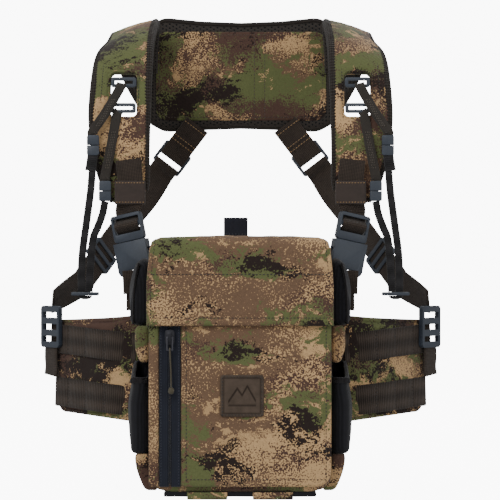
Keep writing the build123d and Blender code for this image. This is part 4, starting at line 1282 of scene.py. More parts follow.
def build_lid():
    low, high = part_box("lid_panel")
    thick = 4 * MM
    front_y = low.y + thick / 2
    top_z = high.z - thick / 2
    bend = 11 * MM
    top_run = high.y - front_y - bend
    bend_run = bend * math.pi / 2
    drop_run = top_z - bend - low.z
    total = top_run + bend_run + drop_run
    wrinkle = sizes().wrinkle

    def profile(s):
        """Point and outward of the lid's section at distance s from its rear edge."""
        if s <= top_run:
            return high.y - s, top_z, 0.0, 1.0
        if s <= top_run + bend_run:
            turn = (s - top_run) / bend
            return (front_y + bend - bend * math.sin(turn), top_z - bend + bend * math.cos(turn),
                    -math.sin(turn), math.cos(turn))
        return front_y, top_z - bend - (s - top_run - bend_run), -1.0, 0.0

    def half_width(s):
        down = smooth_step((s - top_run) / (bend_run + 35 * MM))
        return 84.0 * MM + (high.x - 84.0 * MM) * down

    def surface(u, s):
        y, z, ny, nz = profile(s)
        away = max(0.0, abs(u) - 0.87) / 0.13
        fall = away ** 2 * (4.0 * MM * nz + 1.4 * MM * -ny)
        down = smooth_step((s - top_run) / 20 / MM)
        crown = 1.5 * MM * (1 - u * u) * nz
        x = u * half_width(s)
        fold = wrinkle * (ripple(x, y, z * 1.6, 34.0, 3.0) + 0.6 * ripple(x, y, z * 1.5, 80.0, 1.0))
        fold *= min(1.0, (total - s) / (12 * MM)) * min(1.0, s / (12 * MM))
        seam = -0.7 * MM * math.exp(-((z - 90 * MM) / (1.3 * MM)) ** 2) * down
        hem_groove = -0.6 * MM * math.exp(-((total - s - 7 * MM) / (1.1 * MM)) ** 2)
        side_groove = -0.5 * MM * math.exp(-(((1 - abs(u)) * half_width(s) - 4.5 * MM) / (1.2 * MM)) ** 2)
        lift = crown + fold + seam + hem_groove + side_groove - fall
        return np.array([x, y + ny * lift, z + nz * lift]), np.array([0.0, ny, nz])

    def half(u, s):
        distance = min((1 - abs(u)) * half_width(s), s, total - s)
        hem = 0.5 * MM * smooth_step((s - total + 7.5 * MM) / (1.5 * MM))
        edge = edge_half(distance, 1.9 * MM + hem, 2.6 * MM)
        return edge, edge
    us = spaced(-1, 1, 40, 0.06)
    vs = spaced(0, total, 74, 3 * MM)
    lid = cushion("lid_cover", us, vs, surface, half, metres=lambda u, s: (u * side, s))
    finish_piece(lid, camo("camo_lid_cloth"), "lid", "camo_shell_fabric", ["lid_panel"])

    def above(u, s, lift=2.15):
        point, outward = surface(u, s)
        return tuple(point + outward * lift * MM)
    rows = [[above(u, s, 2.0) for s in np.linspace(12 * MM, total - 8 * MM, 90)] for u in (-0.952, 0.952)]
    rows += [[above(u, s) for u in np.linspace(-0.93, 0.93, 60)]
             for s in (total - 7.6 * MM, top_run + bend_run + 22 * MM)]
    stitches("lid_seams", rows, colours().thread, "lid")
    build_lid_inside()
    build_lid_tab()
    build_lid_fold(high)


def build_lid_inside():
    low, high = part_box("lid_liner")
    liner = soft_box("lid_mesh_liner", np.array(low) + 0.1 * MM, np.array(high) - 0.1 * MM, 1.3 * MM, 18)
    layer = liner.data.uv_layers[0]
    for loop in liner.data.loops:
        co = liner.data.vertices[loop.vertex_index].co
        layer.data[loop.index].uv = (co.x, co.y)
    finish_piece(liner, spacer("lid_spacer_mesh"), "lid", "lining_fabric", ["lid_liner"])
    for node, body, inward in (("lid_magnets", "lid", -0.8 * MM), ("body_magnets", HARNESS, 0.8 * MM)):
        disc = refined(node, node + "_discs", 0.3 * MM)
        for vert in disc.data.vertices:
            vert.co.y += inward
        finish_piece(disc, metal("magnet_plate", linear(170, 172, 176), 0.22), body, "magnet_steel", [node])


def build_lid_tab():
    """Tape folded over on itself, sewn to the lid's rear edge."""
    low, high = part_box("lid_tab")
    x, y = (low.x + high.x) / 2, (low.y + high.y) / 2
    waist = low.z + (high.z - low.z) * 0.4
    bend = [(0, math.cos(turn), math.sin(turn)) for turn in np.linspace(0, 1, 13) * math.pi]
    points = [(x, y + 0.65 * MM, low.z - 0.5 * MM), (x, y + 0.65 * MM, waist)]
    points += [(x, y + back * 0.65 * MM, high.z - 1.6 * MM + up * 0.8 * MM) for _, back, up in bend]
    points += [(x, y - 0.65 * MM, waist), (x, y - 0.65 * MM, low.z - 0.5 * MM)]
    normals = [BACK, BACK, *bend, FRONT, FRONT]
    tab = ribbon("lid_pull_tab", points, normals, high.x - low.x - 0.6 * MM, 1.1 * MM, 90)
    cloth = tape("tab_tape", linear(26, 28, 38), 2600.0, 3400.0, 0.25)
    finish_piece(tab, cloth, "lid", "tab_fabric", ["lid_tab"])
    line = [(x, low.y - 0.05 * MM, low.z + 3.5 * MM) for x in (low.x + 2.5 * MM, high.x - 2.5 * MM)]
    stitches("tab_seam", [line], linear(52, 54, 64), "lid", "tab_fabric", 0.8)


def build_lid_fold(high):
    """Cloth hinge from the pack's rear edge up to the lid."""
    rear = high.y
    points = [(0, rear - forward * MM, z) for forward, z in (
        (1.6, rim - 12 * MM), (0.9, rim - 4 * MM), (0.9, rim + 1 * MM), (1.2, high.z - 3.6 * MM),
        (3.6, high.z - 2.2 * MM))]
    normals = [BACK, BACK, BACK, (0, 1, 0.4), (0, 0.3, 1)]
    fold = ribbon("lid_fold", points, normals, 2 * side - 14 * MM, 0.9 * MM, 40)
    fold.data.materials.append(tape("fold_cloth", colours().stretch, 2400.0, 2400.0))
    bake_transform(fold)


# ---------------------------------------------------------------- yoke

def yoke_outline(u):
    """Bottom and top of the yoke at share u across its half width."""
    x = abs(u) * yoke_high.x
    marks = [value * MM for value in (0, 42, 80, 94, 110, 124, 129)]
    upper = np.interp(x, marks, [value * MM for value in (-6, -4.4, -0.6, -6.5, -18, -30, -36)])
    lower = np.interp(x, marks, [value * MM for value in (4, 2.6, 0.8, 8, 30, 56, 74)])
    return yoke_low.z + float(lower), yoke_high.z + float(upper)


def yoke_layer(name, node, thick):
    """One layer with the yoke's outline, in the depth of its CAD node."""
    low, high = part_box(node)
    half = (yoke_high.x - yoke_low.x) / 2
    height = yoke_high.z - yoke_low.z

    def surface(u, v):
        lower, upper = yoke_outline(u)
        return np.array([u * half, (low.y + high.y) / 2, lower + (upper - lower) * v]), np.array(FRONT, float)

    def layer_half(u, v):
        lower, upper = yoke_outline(u)
        edge = min((1 - abs(u)) * half, v * (upper - lower), (1 - v) * (upper - lower))
        edge = edge_half(edge, thick, 5 * MM)
        return edge, edge
    return cushion(name, spaced(-1, 1, 56, 0.035), spaced(0, 1, 30, 0.07), surface, layer_half,
                   metres=lambda u, v: (u * half, v * height))


def build_yoke():
    pad = yoke_layer("yoke_mesh_pad", "yoke_mesh", 2.9 * MM)
    finish_piece(pad, spacer("yoke_spacer_mesh", 0.0036), HARNESS, "spacer_mesh", ["yoke_mesh"])
    outer = yoke_layer("yoke_outer_cloth", "yoke_panel", 1.5 * MM)
    finish_piece(outer, camo("camo_yoke_cloth"), HARNESS, "camo_harness_fabric", ["yoke_panel"])
    build_yoke_facing()
    half = (yoke_high.x - yoke_low.x) / 2
    middle = (yoke_low.y + yoke_high.y) / 2
    across = np.linspace(-0.985, 0.985, 41)
    line = [(u * half, middle, yoke_outline(u)[1] - 1.5 * MM) for u in across]
    line += [(u * half, middle, yoke_outline(u)[0] + 1.5 * MM) for u in across[::-1]]
    line.append(line[0])
    binding = ribbon("yoke_binding", line, [FRONT] * len(line), 5.5 * MM, PAD_EDGE, 330, OVAL)
    finish_piece(binding, mesh_binding(), HARNESS, "spacer_mesh")


def build_yoke_facing():
    """Printed facing on the wearer's side, with two seams down its right half and one round its edge."""
    low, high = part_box("yoke_facing")
    seams = (14 * MM, 25 * MM)
    facing = flat_pad("yoke_facing_cloth", (low.x, high.x, low.z, high.z), low.y + 1.4 * MM, 1.1 * MM,
                      12 * MM, 2.5 * MM, 0.8 * MM, 0.35 * MM, (40, 34), [(x, 0.5 * MM) for x in seams])
    finish_piece(facing, camo("camo_yoke_facing"), HARNESS, "camo_harness_fabric", ["yoke_facing"])
    lines = [[(x, low.y, z) for z in np.linspace(low.z + 3 * MM, high.z - 3 * MM, 30)] for x in seams]
    near, far = 3.5 * MM, 12 * MM
    corners = []
    for x, z, first, second in ((low.x, high.z, near, far), (high.x, high.z, far, near),
                                (high.x, low.z, near, far), (low.x, low.z, far, near)):
        for inwards, along in ((first, second), (second, first)):
            corners.append((x + math.copysign(inwards, -x), z + (along if z == low.z else -along)))
    corners = [(low.x + near, low.z + far), *corners]
    lines.append([(ax + (bx - ax) * t, low.y, az + (bz - az) * t)
                  for (ax, az), (bx, bz) in zip(corners, corners[1:]) for t in np.linspace(0, 1, 12)])
    stitches("yoke_facing_seams", [on_surface(facing, line) for line in lines], linear(60, 48, 38),
             slot="camo_harness_fabric")


# ---------------------------------------------------------------- shoulder pads

def pad_stations():
    """Middle, outward and width in millimetres of each station of the left shoulder pad."""
    depth = body_depth
    return [
        (at(24.5, depth - 14, 182), BACK, 45), (at(25, depth - 15, 210), (0, 0.94, 0.34), 48),
        (at(25, depth - 24, 227), (-0.2, 0.45, 0.87), 52),
        (at(26, depth * 0.59, 219), (-0.4, -0.1, 0.91), 59),
        (at(31, depth * 0.34, 198), (-0.3, -0.55, 0.78), 62), (at(33, 36, 164), (-0.1, -0.88, 0.46), 62),
        (at(34, 24, 126), (0, -0.98, 0.2), 62), (at(32, 19, 91), FRONT, 57), (at(27, 17, 61), FRONT, 48),
        (at(22.5, 16, 46), FRONT, 36),
    ]


def station_surface(stations, samples=200):
    """surface(u, v) over stations: u from -1 to 1 across, v from 0 to 1 along; and the length."""
    rows = [np.concatenate([point, unit(normal), [width * MM]]) for point, normal, width in stations]
    rows = spline(rows, samples)
    centre, normal, width = rows[:, :3], rows[:, 3:6], rows[:, 6]
    across, out, travelled = directions(centre, normal)
    length = travelled[-1]

    def surface(u, v, crown=0.0):
        place = np.interp(v * length, travelled, np.arange(samples))
        i = min(int(place), samples - 2)
        f = place - i
        blend = [row[i] * (1 - f) + row[i + 1] * f for row in (centre, across, out, width)]
        point = blend[0] + unit(blend[1]) * blend[3] / 2 * u - unit(blend[2]) * crown * u * u
        return point, unit(blend[2])

    def width_at(v):
        return float(np.interp(v * length, travelled, width))
    return surface, length, width_at


def build_shoulder_pads():
    surface, length, width_at = station_surface(pad_stations())
    window = window_box()
    crown = 2.5 * MM

    def bowed(u, v):
        return surface(u, v, crown)

    def in_window(u, v, grow=0.0):
        (x, y, z), _ = bowed(u, v)
        x0, x1, z0, z1 = window
        return x0 - grow < x < x1 + grow and z0 - grow < z < z1 + grow and y < CHEST_SIDE

    us = edged(0.9, 30)
    vs = np.linspace(0, 1, 130)

    def half(u, v):
        edge = min((1 - abs(u)) * width_at(v) / 2, v * length, (1 - v) * length)
        thick = edge_half(edge, 3.7 * MM, 9 * MM)
        from_seam = (1 - abs(u)) * width_at(v) / 2 - PAD_QUILT_INSET
        quilt = 0.6 * MM * math.exp(-(from_seam / (1.4 * MM)) ** 2)
        return thick - quilt, thick
    pad = cushion("padded_strap_left", us, vs, bowed, half, in_window, lambda u, v: (u * 31 * MM, v * length))
    snap_window(pad, window)
    puffed(pad)
    place_both(pad, camo("camo_shoulder_cloth"), "camo_harness_fabric", "shoulder_pad")
    build_pad_lining(bowed, length, in_window)
    build_pad_bindings(bowed, width_at)
    build_window_edging(window)
    rows = []
    for sign in (-1, 1):
        path = [(sign * (1 - 2 * PAD_QUILT_INSET / width_at(v)), v) for v in np.linspace(0.03, 0.985, 110)]
        rows.append(follow(bowed, path, 3.35 * MM)[0])
    stitches("shoulder_pad_seams", both_sides(rows), colours().thread, slot="camo_harness_fabric")


def window_box():
    """Left strap window: lowest and highest x, then lowest and highest z."""
    x = -(side + 30 * MM)
    z = rim + 149.5 * MM
    return x - 13.5 * MM, x + 13.5 * MM, z - 22.5 * MM, z + 22.5 * MM


def snap_window(pad, window):
    """Draws the rough rim of the window out to a clean round-cornered rectangle."""
    x0, x1, z0, z1 = window
    cx, cz = (x0 + x1) / 2, (z0 + z1) / 2
    body = bmesh.new()
    body.from_mesh(pad.data)
    for vert in body.verts:
        dx, dz = vert.co.x - cx, vert.co.z - cz
        fx, fz = abs(dx) / ((x1 - x0) / 2), abs(dz) / ((z1 - z0) / 2)
        reach = max(fx, fz)
        if vert.co.y <= CHEST_SIDE and 0.75 < reach < 1.22:
            at_rim = any(len(edge.link_faces) < 2 or edge.calc_face_angle(0) > 1.0
                         for edge in vert.link_edges)
            target = 1.0 + (reach - 1.0) * 0.25 if at_rim else reach
            factor = target / (fx ** 8 + fz ** 8) ** 0.125
            vert.co.x = cx + dx * factor
            vert.co.z = cz + dz * factor
    body.to_mesh(pad.data)
    body.free()


def build_pad_lining(bowed, length, in_window):
    """Mesh face on the wearer's side of the pad."""
    us = np.linspace(-0.93, 0.93, 26)
    vs = np.linspace(0.01, 0.99, 110)

    def lowered(u, v):
        point, outward = bowed(u, v)
        return point - outward * 3.5 * MM, outward
    lining = cushion("shoulder_mesh_left", us, vs, lowered, lambda u, v: (0.3 * MM, 0.8 * MM),
                     lambda u, v: in_window(u, v, 2.5 * MM), lambda u, v: (u * 30 * MM, v * length))
    place_both(lining, spacer("pad_spacer_mesh"), "spacer_mesh")


def build_pad_bindings(bowed, width_at):
    """Ribbed mesh binding down both edges of each pad."""
    width = sizes().binding_width
    for word, sign in (("inner", 1), ("outer", -1)):
        path = [(sign * (1 - width / width_at(v)), v) for v in np.linspace(0.0, 0.985, 60)]
        points, normals = follow(bowed, path)
        band = ribbon(f"pad_binding_{word}_left", points, normals, width, PAD_EDGE, 460, OVAL, 0.09, 3.2 * MM)
        place_both(band, mesh_binding(), "spacer_mesh")


def build_window_edging(window):
    """Thin bound edge round the strap window."""
    x0, x1, z0, z1 = window
    line = ring(x0 - 1 * MM, x1 + 1 * MM, z0 - 1 * MM, z1 + 1 * MM, 0.0, 6 * MM, 8)
    points = []
    for x, z, _ in line + line[:1]:
        share = (z - z0) / (z1 - z0)
        points.append((x, (25.6 + 13.2 * share + 1.2 * share * share) * MM, z))
    normals = [(0, -1, 0.25)] * len(points)
    edging = ribbon("window_edging_left", points, normals, 3.4 * MM, 9.0 * MM, 120, OVAL)
    place_both(edging, camo("camo_shoulder_cloth"), "camo_harness_fabric")


# ---------------------------------------------------------------- webbing

def in_buckle(across, back, rise):
    """Point in the left main buckle's own frame, in millimetres: across it, behind its face, up along it."""
    turn, tilt = math.radians(20), math.radians(11.7)
    flat = np.array([math.cos(turn), -math.sin(turn), 0])
    up = np.array([0.0, 0.0, 1.0])
    x_axis = flat * math.cos(tilt) + up * math.sin(tilt)
    z_axis = up * math.cos(tilt) - flat * math.sin(tilt)
    return at(20.8, 3, 1) + (x_axis * across + np.cross(z_axis, x_axis) * back + z_axis * rise) * MM


# The shoulder webbing's way through the buckle frame: up, behind the frame's face, and its lean there.
FRAME_WEAVE = ((35, 5.6, 0), (29, 4.9, 0.2), (24.6, 0.4, 1.2), (21.2, -4.6, 0.3), (18.4, -4.7, -0.3),
               (14.8, -0.4, -1.2), (12.0, 4.6, -0.4))


def build_webbing():
    """Shoulder webbing, keepers, buckle straps, loose tails and the cross webbing."""
    material = tape("woven_webbing", colours().webbing, 1900.0, 2300.0, 0.1, 0.0008)
    low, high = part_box("shoulder_webbing")
    x = low.x + 13 * MM
    y = (low.y + high.y) / 2
    points = [(x - 2 * MM, y + 0.6 * MM, high.z), (x - 1 * MM, y - 0.4 * MM, high.z - 9 * MM),
              (x, y, high.z - 22 * MM), (x, y, low.z + 8 * MM)]
    points += [in_buckle(0, out, rise) for rise, out, _ in FRAME_WEAVE]
    normals = [FRONT] * 4 + [in_buckle(0, -1, lean) - in_buckle(0, 0, 0) for _, _, lean in FRAME_WEAVE]
    strap = ribbon("shoulder_webbing_left", points, normals, 25 * MM, 2.0 * MM, 170)
    place_both(strap, material, "webbing", "shoulder_webbing")
    build_keepers()
    points = [at(13.9, 2.2, -31), at(13.6, 1.8, -40), at(13.3, 0.2, -52), at(13.2, -1.5, -63)]
    strap = ribbon("buckle_strap_left", points, [(-0.3, -0.94, 0), (-0.1, -1, 0), FRONT, FRONT],
                   [22 * MM, 24 * MM, 25 * MM, 25 * MM], 2.2 * MM, 40)
    place_both(strap, material, "webbing", "buckle_straps")
    points = [at(23, -7.0, -24), at(22.6, -7.0, -31), at(22.2, -5.6, -40), at(22, -5.0, -47)]
    tail = ribbon("buckle_tail_left", points, [FRONT] * 4, 13 * MM, 2.6 * MM, 30)
    place_both(tail, material, "webbing", "webbing_tails")
    build_cross_webbing(material)


def build_keepers():
    """Elastic sleeves round the shoulder webbing, sewn at top and foot."""
    low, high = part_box("webbing_keeper_left")
    cx, cy, cz = (low + high) / 2
    loop = ring(low.x + 0.5 * MM, high.x - 0.5 * MM, low.y + 0.55 * MM, high.y - 0.55 * MM, 0.0, 1.9 * MM, 6)
    points = [(px, py, cz) for px, py, _ in densified(loop, 3 * MM)]
    points.append(points[0])
    normals = [(px - cx, (py - cy) * 12, 0) for px, py, _ in points]
    sleeve = ribbon("keeper_sleeve_left", points, normals, high.z - low.z, 1.1 * MM, 110)
    weave = tape("keeper_weave", colours().keeper, 7000.0, 7000.0, 0.15, 0.0001)
    place_both(sleeve, weave, "keeper_elastic", "webbing_keeper", "webbing_keeper", True)
    lines = [[(x, low.y - 0.1 * MM, z) for x in (low.x + 2 * MM, high.x - 2 * MM)]
             for z in (low.z + 2 * MM, high.z - 2 * MM)]
    for word, rows in (("left", lines), ("right", both_sides(lines)[2:])):
        stitches(f"keeper_seams_{word}", rows, KEEPER_THREAD, f"webbing_keeper_{word}",
                 "keeper_elastic", 0.8)


def cross_frame():
    """Foot of the yoke webbing, middle of the ladder lock and the direction between them."""
    foot = np.array([-(side - 38 * MM), (body_depth - 7.9) * MM, rim + 126 * MM])
    lock = np.array([-(side - 13 * MM), (body_depth - 6.0) * MM, rim + 93 * MM])
    return foot, lock, unit((lock - foot) * np.array([1, 0, 1]))


def build_cross_webbing(material):
    foot, lock, along = cross_frame()
    over = mm(0, -3.9, 0)
    points = [foot - along * 3 * MM, foot + along * 10 * MM, lock - along * 14 * MM + over,
              lock + along * 1.2 * MM + over]
    upper = ribbon("yoke_webbing_left", points, [BACK] * 4, CROSS_WIDTH, 2.2 * MM, 50)
    place_both(upper, material, "webbing", "cross_webbing_upper")
    run = unit(np.array([-0.48, -0.52, -0.70]))
    normal = (-0.72, 0.69, 0)
    middle = at(58, body_depth - 70, -10)
    low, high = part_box("wing_adjuster_left")
    adjuster = np.array((low + high) / 2)
    points = [lock + along * 7.2 * MM + over, lock + along * 12 * MM + over, lock + along * 22 * MM,
              at(14, body_depth - 20, 52), *(middle + run * step * MM for step in (-40, -31, 0, 31, 40)),
              adjuster + mm(1.0, 3.0, 25.0)]
    normals = [BACK, BACK, BACK, (-0.25, 0.97, 0)] + [normal] * 5 + [(-0.9, -0.2, 0)]
    lower = ribbon("cross_webbing_left", points, normals, CROSS_WIDTH, 2.2 * MM, 150)
    place_both(lower, material, "webbing", "cross_webbing_lower")
    across = unit(np.cross(BACK, along))
    rows = []
    for step in (1.5 * MM, 19 * MM, 24 * MM):
        centre = foot + along * step - np.array([0, 1.3 * MM + 3.9 * MM * smooth_step(step / 24 / MM), 0])
        rows.append([centre - across * 12 * MM, centre + across * 12 * MM])
    stitches("yoke_webbing_tacks", both_sides(rows), TACK_THREAD, slot="webbing")
    top = np.array([adjuster[0], adjuster[1], low.z])
    points = [top + mm(*step) for step in ((0, 0, 1), (-0.4, 0.2, -9), (0.2, -0.2, -19), (-0.8, 0.4, -28))]
    outward = (-0.75, -0.66, 0)
    tail = ribbon("adjuster_tail_left", points, [outward] * 4, 20 * MM, 2.2 * MM, 40)
    place_both(tail, material, "webbing")


# ---------------------------------------------------------------- buckles

# Moulded fittings and the bodies that they ride on; those that come in pairs have left and right nodes.
SINGLE_FITTINGS = ("tether_hooks", "clip_plugs", "ladder_locks")
PAIRED_FITTINGS = {
    "buckle_frame": HARNESS, "buckle_socket": HARNESS, "wing_adjuster": HARNESS,
    "buckle_prong_outer": "buckle_prong_outer_", "buckle_prong_inner": "buckle_prong_inner_",
    "tri_glide": "tri_glide_", "clip_sockets": "tether_", "tether_toggle": "tether_",
}


def build_buckles():
    """Every moulded fitting, with rounded edges."""
    plastic = moulded("moulded_acetal", colours().plastic)
    fittings = [(node, HARNESS) for node in SINGLE_FITTINGS]
    for word in SIDES:
        fittings += [(f"{kind}_{word}", body if body == HARNESS else body + word)
                     for kind, body in PAIRED_FITTINGS.items()]
    for node, body in fittings:
        piece = refined(node, node + "_moulded", sizes().bevel)
        finish_piece(piece, plastic, body, "buckle_plastic", [node])


# ---------------------------------------------------------------- tethers

def build_tethers():
    material = tape("tether_webbing", linear(50, 46, 42), 3600.0, 3600.0)
    clips = {"outer": at(59, 8, 99), "inner": at(47.2, 8, 54)}
    tops = {"outer": at(33.5, 23, 156), "inner": at(36.5, 18.5, 128)}
    rows = []
    for word in ("outer", "inner"):
        clip_top = clips[word] + mm(0, 0, 10.2)
        top = tops[word]
        sag = (top + clip_top) / 2 + mm(0.0, -1.5, 0.0)
        points = [top + mm(1.5, 3.0, 5.0), top, sag, clip_top + mm(0, 0, 4.0), clip_top]
        strap = ribbon(f"tether_strap_{word}_left", points, [FRONT] * 5, 9.5 * MM, 2.0 * MM, 50)
        place_both(strap, material, "webbing", "tether_straps" if word == "outer" else None)
        for shift in (-1.6, 0, 1.6):
            rows.append([top * (1 - share) + clip_top * share + mm(shift, -2.6, 0)
                         for share in np.linspace(0.25, 0.8, 14)])
    stitches("tether_tacks", both_sides(rows), linear(84, 76, 66), slot="webbing", scale=0.75)
    build_elastics(clips)


def build_elastics(clips):
    """Ribbed elastic from each clip's socket down to the toggle and round under it."""
    low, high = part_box("tether_toggle_left")
    toggle = np.array((low + high) / 2)
    material = tape("ribbed_elastic", linear(34, 33, 34), 2600.0, 200.0, 0.25)
    pitch = sizes().rib_pitch
    routes = {"outer": (at(69, 6.5, -4), -3.7), "inner": (at(59, 6.5, 6), 3.7)}
    for word, (waist, shift) in routes.items():
        head = clips[word] - mm(0, 0, 10.2)
        foot = np.array([toggle[0] + shift * MM, 0.005, high.z + 0.3 * MM])
        points = [head, head * 0.67 + waist * 0.33 + mm(1.4, 0, 0),
                  head * 0.33 + waist * 0.67 + mm(0.8, 0, 0), waist,
                  (waist + foot) / 2 + mm(-0.6, 0, 0), foot]
        leg = ribbon(f"elastic_{word}_left", points, [FRONT] * 6, 7.4 * MM, 1.9 * MM, 300, FLAT, 0.16, pitch)
        place_both(leg, material, "elastic", "tether_elastic" if word == "outer" else None, "tether", True)
        sleeve = [head + mm(-0.4, 0, 0.3), head - mm(1.6, 0, 8),
                  head - mm(2.8, 0, 15)]
        if word == "outer":
            piece = ribbon("elastic_keeper_left", sleeve, [FRONT] * 3, 10.4 * MM, 4.6 * MM, 60, OVAL, 0.1,
                           pitch)
            place_both(piece, material, "elastic", None, "tether", True)
    points = [(toggle[0], toggle[1], low.z - drop * MM) for drop in (0.2, 1.4, 2.8, 3.8)]
    fold = ribbon("elastic_fold_left", points, [FRONT] * 4, mm(13.5, 13, 10, 5), 3.6 * MM, 24, OVAL)
    place_both(fold, material, "elastic", None, "tether", True)


# ---------------------------------------------------------------- waist wings

# The wing's way in plan, outwards from the pack's side and in depth in millimetres, and its outward there.
WING_ROUTE = [(1.0, -3.6), (20.0, -3.0), (42.0, 9.0), (72.0, 38.0), (106.0, 76.0)]
WING_OUTWARD = [FRONT, (-0.25, -0.97, 0), (-0.6, -0.8, 0), (-0.74, -0.67, 0), (-0.75, -0.66, 0)]


def wing_cut(u):
    """Share of the wing's length that its slanted end takes off, from the top (-1) to the foot (1)."""
    return 0.035 + 0.10 * ((u + 1) / 2) ** 1.3


def build_wings():
    stations = [(np.array([-side - out * MM, y * MM, -6 * MM]), normal, 106 - 4.5 * index)
                for index, ((out, y), normal) in enumerate(zip(WING_ROUTE, WING_OUTWARD))]
    surface, length, width_at = station_surface(stations)
    us = edged(0.93, 34)
    vs = np.concatenate([np.linspace(0, 0.955, 46), np.linspace(0.955, 1, 6)[1:]])

    def rounded(u, v):
        tip = max(0.0, (v - 0.9) / 0.1)
        point, outward = surface(u * (1 - 0.06 * tip ** 3), v * (1 - wing_cut(u)))
        bump = 0.5 * MM * ripple(point[0], point[1], point[2], 45.0)
        return point + outward * bump, outward

    def half(u, v):
        edge = min((1 - abs(u)) * width_at(v) / 2, (1 - v) * length)
        thick = edge_half(edge, 3.3 * MM, 8 * MM, 1.3 * MM)
        return thick, thick
    wing = cushion("wing_pad_left", us, vs, rounded, half, metres=lambda u, v: (u * 53 * MM, v * length))
    puffed(wing)
    place_both(wing, camo("camo_wing_cloth"), "camo_harness_fabric", "wing")
    build_wing_lining(surface, length)
    build_wing_rows()
    build_wing_binding(surface)


def build_wing_lining(surface, length):
    def lowered(u, v):
        point, outward = surface(u, v)
        return point - outward * 3.2 * MM, outward
    lining = cushion("wing_mesh_left", np.linspace(-0.94, 0.94, 24), np.linspace(0.03, 0.97, 36), lowered,
                     lambda u, v: (0.3 * MM, 0.7 * MM), metres=lambda u, v: (u * 53 * MM, v * length))
    place_both(lining, spacer("wing_spacer_mesh"), "spacer_mesh")


def build_wing_binding(surface):
    """Bound edge round the free sides of each wing."""
    path = [(-0.972, v) for v in np.linspace(0.1, 0.95, 14)]
    path += [(u, 0.988) for u in np.linspace(-0.9, 0.9, 12)]
    path += [(0.972, v) for v in np.linspace(0.95, 0.1, 14)]
    points, normals = follow(surface, [(u, v * (1 - wing_cut(u))) for u, v in path])
    band = ribbon("wing_edge_left", points, normals, 5.0 * MM, 5.4 * MM, 260, OVAL)
    place_both(band, camo("camo_wing_cloth"), "camo_harness_fabric")


def build_wing_rows():
    """Two rows of load webbing, tacked down at a regular pitch so that they bow between the tacks."""
    material = tape("row_webbing", colours().webbing, 200.0, 1350.0, 0.1, 0.0009)
    tacks = []
    for index, (inner_z, outer_z) in enumerate(((14.0, 22.0), (-38.0, -31.0))):
        stations = []
        for step, ((out, y), normal) in enumerate(zip([(14.0, -3.3)] + WING_ROUTE[2:], WING_OUTWARD[1:])):
            z = inner_z + (outer_z - inner_z) * step / 3
            lifted = np.array([-side - out * MM, y * MM, z * MM]) + unit(np.array(normal)) * 5.2 * MM
            stations.append((lifted, normal, ROW_WIDTH / MM))
        surface, length, _ = station_surface(stations)
        first = 9 * MM
        last = 1 - wing_cut(-0.45 if index == 0 else 0.6) * 1.12
        points = []
        normals = []
        for v in np.linspace(0.0, last, 80):
            point, outward = surface(0, v)
            swell = 0.9 * MM * abs(math.sin(math.pi * (v * length - first) / TACK_PITCH)) ** 0.6
            points.append(point + outward * (swell - 0.5 * MM))
            normals.append(outward)
        row = ribbon(f"wing_row_{index}_left", points, normals, ROW_WIDTH, 1.8 * MM, 160)
        place_both(row, material, "webbing", "wing_webbing" if index == 0 else None)
        count = int((length * last - 12 * MM) / TACK_PITCH) + 1
        for number in range(count):
            for shift in (-0.8 * MM, 0.8 * MM):
                v = min((first + number * TACK_PITCH + shift) / length, 0.99)
                tacks.append(follow(surface, [(u, v) for u in np.linspace(-0.9, 0.9, 12)], 0.55 * MM)[0])
    stitches("wing_tacks", both_sides(tacks), linear(40, 33, 28), slot="webbing")


# ---------------------------------------------------------------- stage

# Name, place in metres, size in metres and power in watts.
LIGHTS = (("key_light", (-0.9, -1.6, 1.5), 0.9, 24), ("fill_light", (1.3, -1.5, 0.7), 1.3, 6),
          ("rim_light", (0.2, 1.3, 1.5), 1.0, 9))
VIEW_DISTANCE = 2.2
VIEW_LENS = 168.5


def build_stage():
    """Camera in front of the pack, a pale sweep for the floor and soft lights."""
    camera_data = bpy.data.cameras.new("view_camera")
    camera_data.sensor_width = 36.0
    camera_data.lens = VIEW_LENS
    camera = linked("view_camera", camera_data)
    camera.location = (0.0094, panel_low.y - VIEW_DISTANCE, 0.110)
    camera.rotation_euler = (math.radians(90), 0, 0)
    bpy.context.scene.camera = camera
    floor_z = cad_box[0][2] - 0.012
    cove = [(7.0 + 2.0 * math.sin(turn), 2.0 - 2.0 * math.cos(turn))
            for turn in np.linspace(0.2, math.pi / 2, 8)]
    section = [(0.0, 0.0), (2.0, 0.0), (7.0, 0.0), *cove, (9.0, 7.0), (7.0, 10.0), (3.0, 12.0), (0.0, 12.5)]
    verts = []
    faces = []
    steps = 48
    for out, up in section:
        for step in range(steps):
            turn = 2 * math.pi * step / steps
            verts.append((out * math.cos(turn), out * math.sin(turn), floor_z + up))
    for row in range(len(section) - 1):
        for j in range(steps):
            k = (j + 1) % steps
            faces.append((row * steps + j, (row + 1) * steps + j, (row + 1) * steps + k, row * steps + k))
    floor = make_mesh("studio_floor", verts, faces)

    def pale(graph):
        mottle = graph.noise(object_place(graph), 3.0, 2.0)
        colour = colours().floor
        paint = graph.mix(mottle, shade(colour, 0.98), shade(colour))
        return paint, mottle, 0.0002, {"Roughness": 0.85, "Emission Color": (1, 1, 1, 1),
                                       "Emission Strength": 9.0}
    floor.data.materials.append(new_material("studio_paper", pale))
    floor.visible_diffuse = floor.visible_glossy = floor.visible_shadow = False
    world = bpy.data.worlds.new("studio")
    world.use_nodes = True
    background = world.node_tree.nodes["Background"].inputs
    background["Color"].default_value = (1, 1, 1, 1)
    background["Strength"].default_value = 0.62
    bpy.context.scene.world = world
    for name, place, size, energy in LIGHTS:
        light_data = bpy.data.lights.new(name, "AREA")
        light_data.size = size
        light_data.energy = energy
        light = linked(name, light_data)
        light.location = place
        light.rotation_euler = (Vector((0, 0.05, 0.1)) - Vector(place)).to_track_quat("-Z", "Y").to_euler()


# ---------------------------------------------------------------- operators and panel

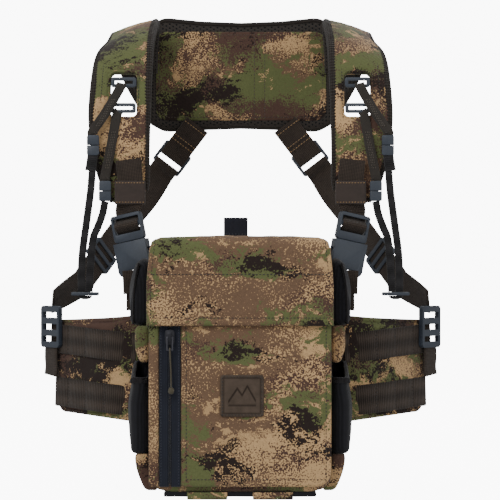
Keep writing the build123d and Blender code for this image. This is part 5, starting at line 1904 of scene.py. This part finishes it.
PIECES = [
    ("make_stage", "Stage", "Camera, floor and lights", build_stage),
    ("make_zip_cord", "Zip pull cord", "Cord loop and knot on the zip pull", build_zip_cord),
    ("make_pack_body", "Pack body", "Shell, lining, chest pad, base and its loops", build_pack_body),
    ("make_front", "Front", "Front panels, patch and seams", build_front),
    ("make_zip", "Zip", "Tapes, coil, slider and pull", build_zip),
    ("make_sides", "Sides", "Stretch pockets, cuffs, panels and gussets", build_sides),
    ("make_lid", "Lid", "Lid cover, liner, tab, magnets and cloth hinge", build_lid),
    ("make_yoke", "Yoke", "Back yoke with its mesh, facing and binding", build_yoke),
    ("make_shoulder_pads", "Shoulder pads", "Both pads with windows and bindings", build_shoulder_pads),
    ("make_webbing", "Webbing", "Straps, keepers, tails and cross webbing", build_webbing),
    ("make_buckles", "Buckles", "All moulded fittings", build_buckles),
    ("make_tethers", "Tethers", "Tether straps and ribbed elastics", build_tethers),
    ("make_wings", "Wings", "Waist wings with their load webbing", build_wings),
]


def piece_operator(key, label, note, build):
    """One operator class that builds one group of pieces."""
    def execute(self, context):
        build()
        return {"FINISHED"}
    return type("HARNESS_OT_" + key, (bpy.types.Operator,), {
        "__doc__": note, "bl_idname": "harness." + key, "bl_label": label, "execute": execute})


OPERATORS = [piece_operator(*piece) for piece in PIECES]


class HARNESS_PT_panel(bpy.types.Panel):
    """Lists the pieces and their sizes and colours."""
    bl_label = "Harness Pack"
    bl_space_type = "VIEW_3D"
    bl_region_type = "UI"
    bl_category = "Harness Pack"

    def draw(self, context):
        for key, label, _, _ in PIECES:
            self.layout.operator("harness." + key, text=label)
        for group in (context.scene.harness_sizes, context.scene.harness_colours):
            for name in group.__annotations__:
                self.layout.prop(group, name)


CLASSES = [HarnessColours, HarnessSizes, *OPERATORS, HARNESS_PT_panel]


def register():
    for cls in CLASSES:
        bpy.utils.register_class(cls)
    bpy.types.Scene.harness_colours = bpy.props.PointerProperty(type=HarnessColours)
    bpy.types.Scene.harness_sizes = bpy.props.PointerProperty(type=HarnessSizes)


def unregister():
    del bpy.types.Scene.harness_sizes
    del bpy.types.Scene.harness_colours
    for cls in reversed(CLASSES):
        bpy.utils.unregister_class(cls)


def main():
    register()
    for key, _, _, _ in PIECES:
        getattr(bpy.ops.harness, key)()


if __name__ == "__main__":
    main()
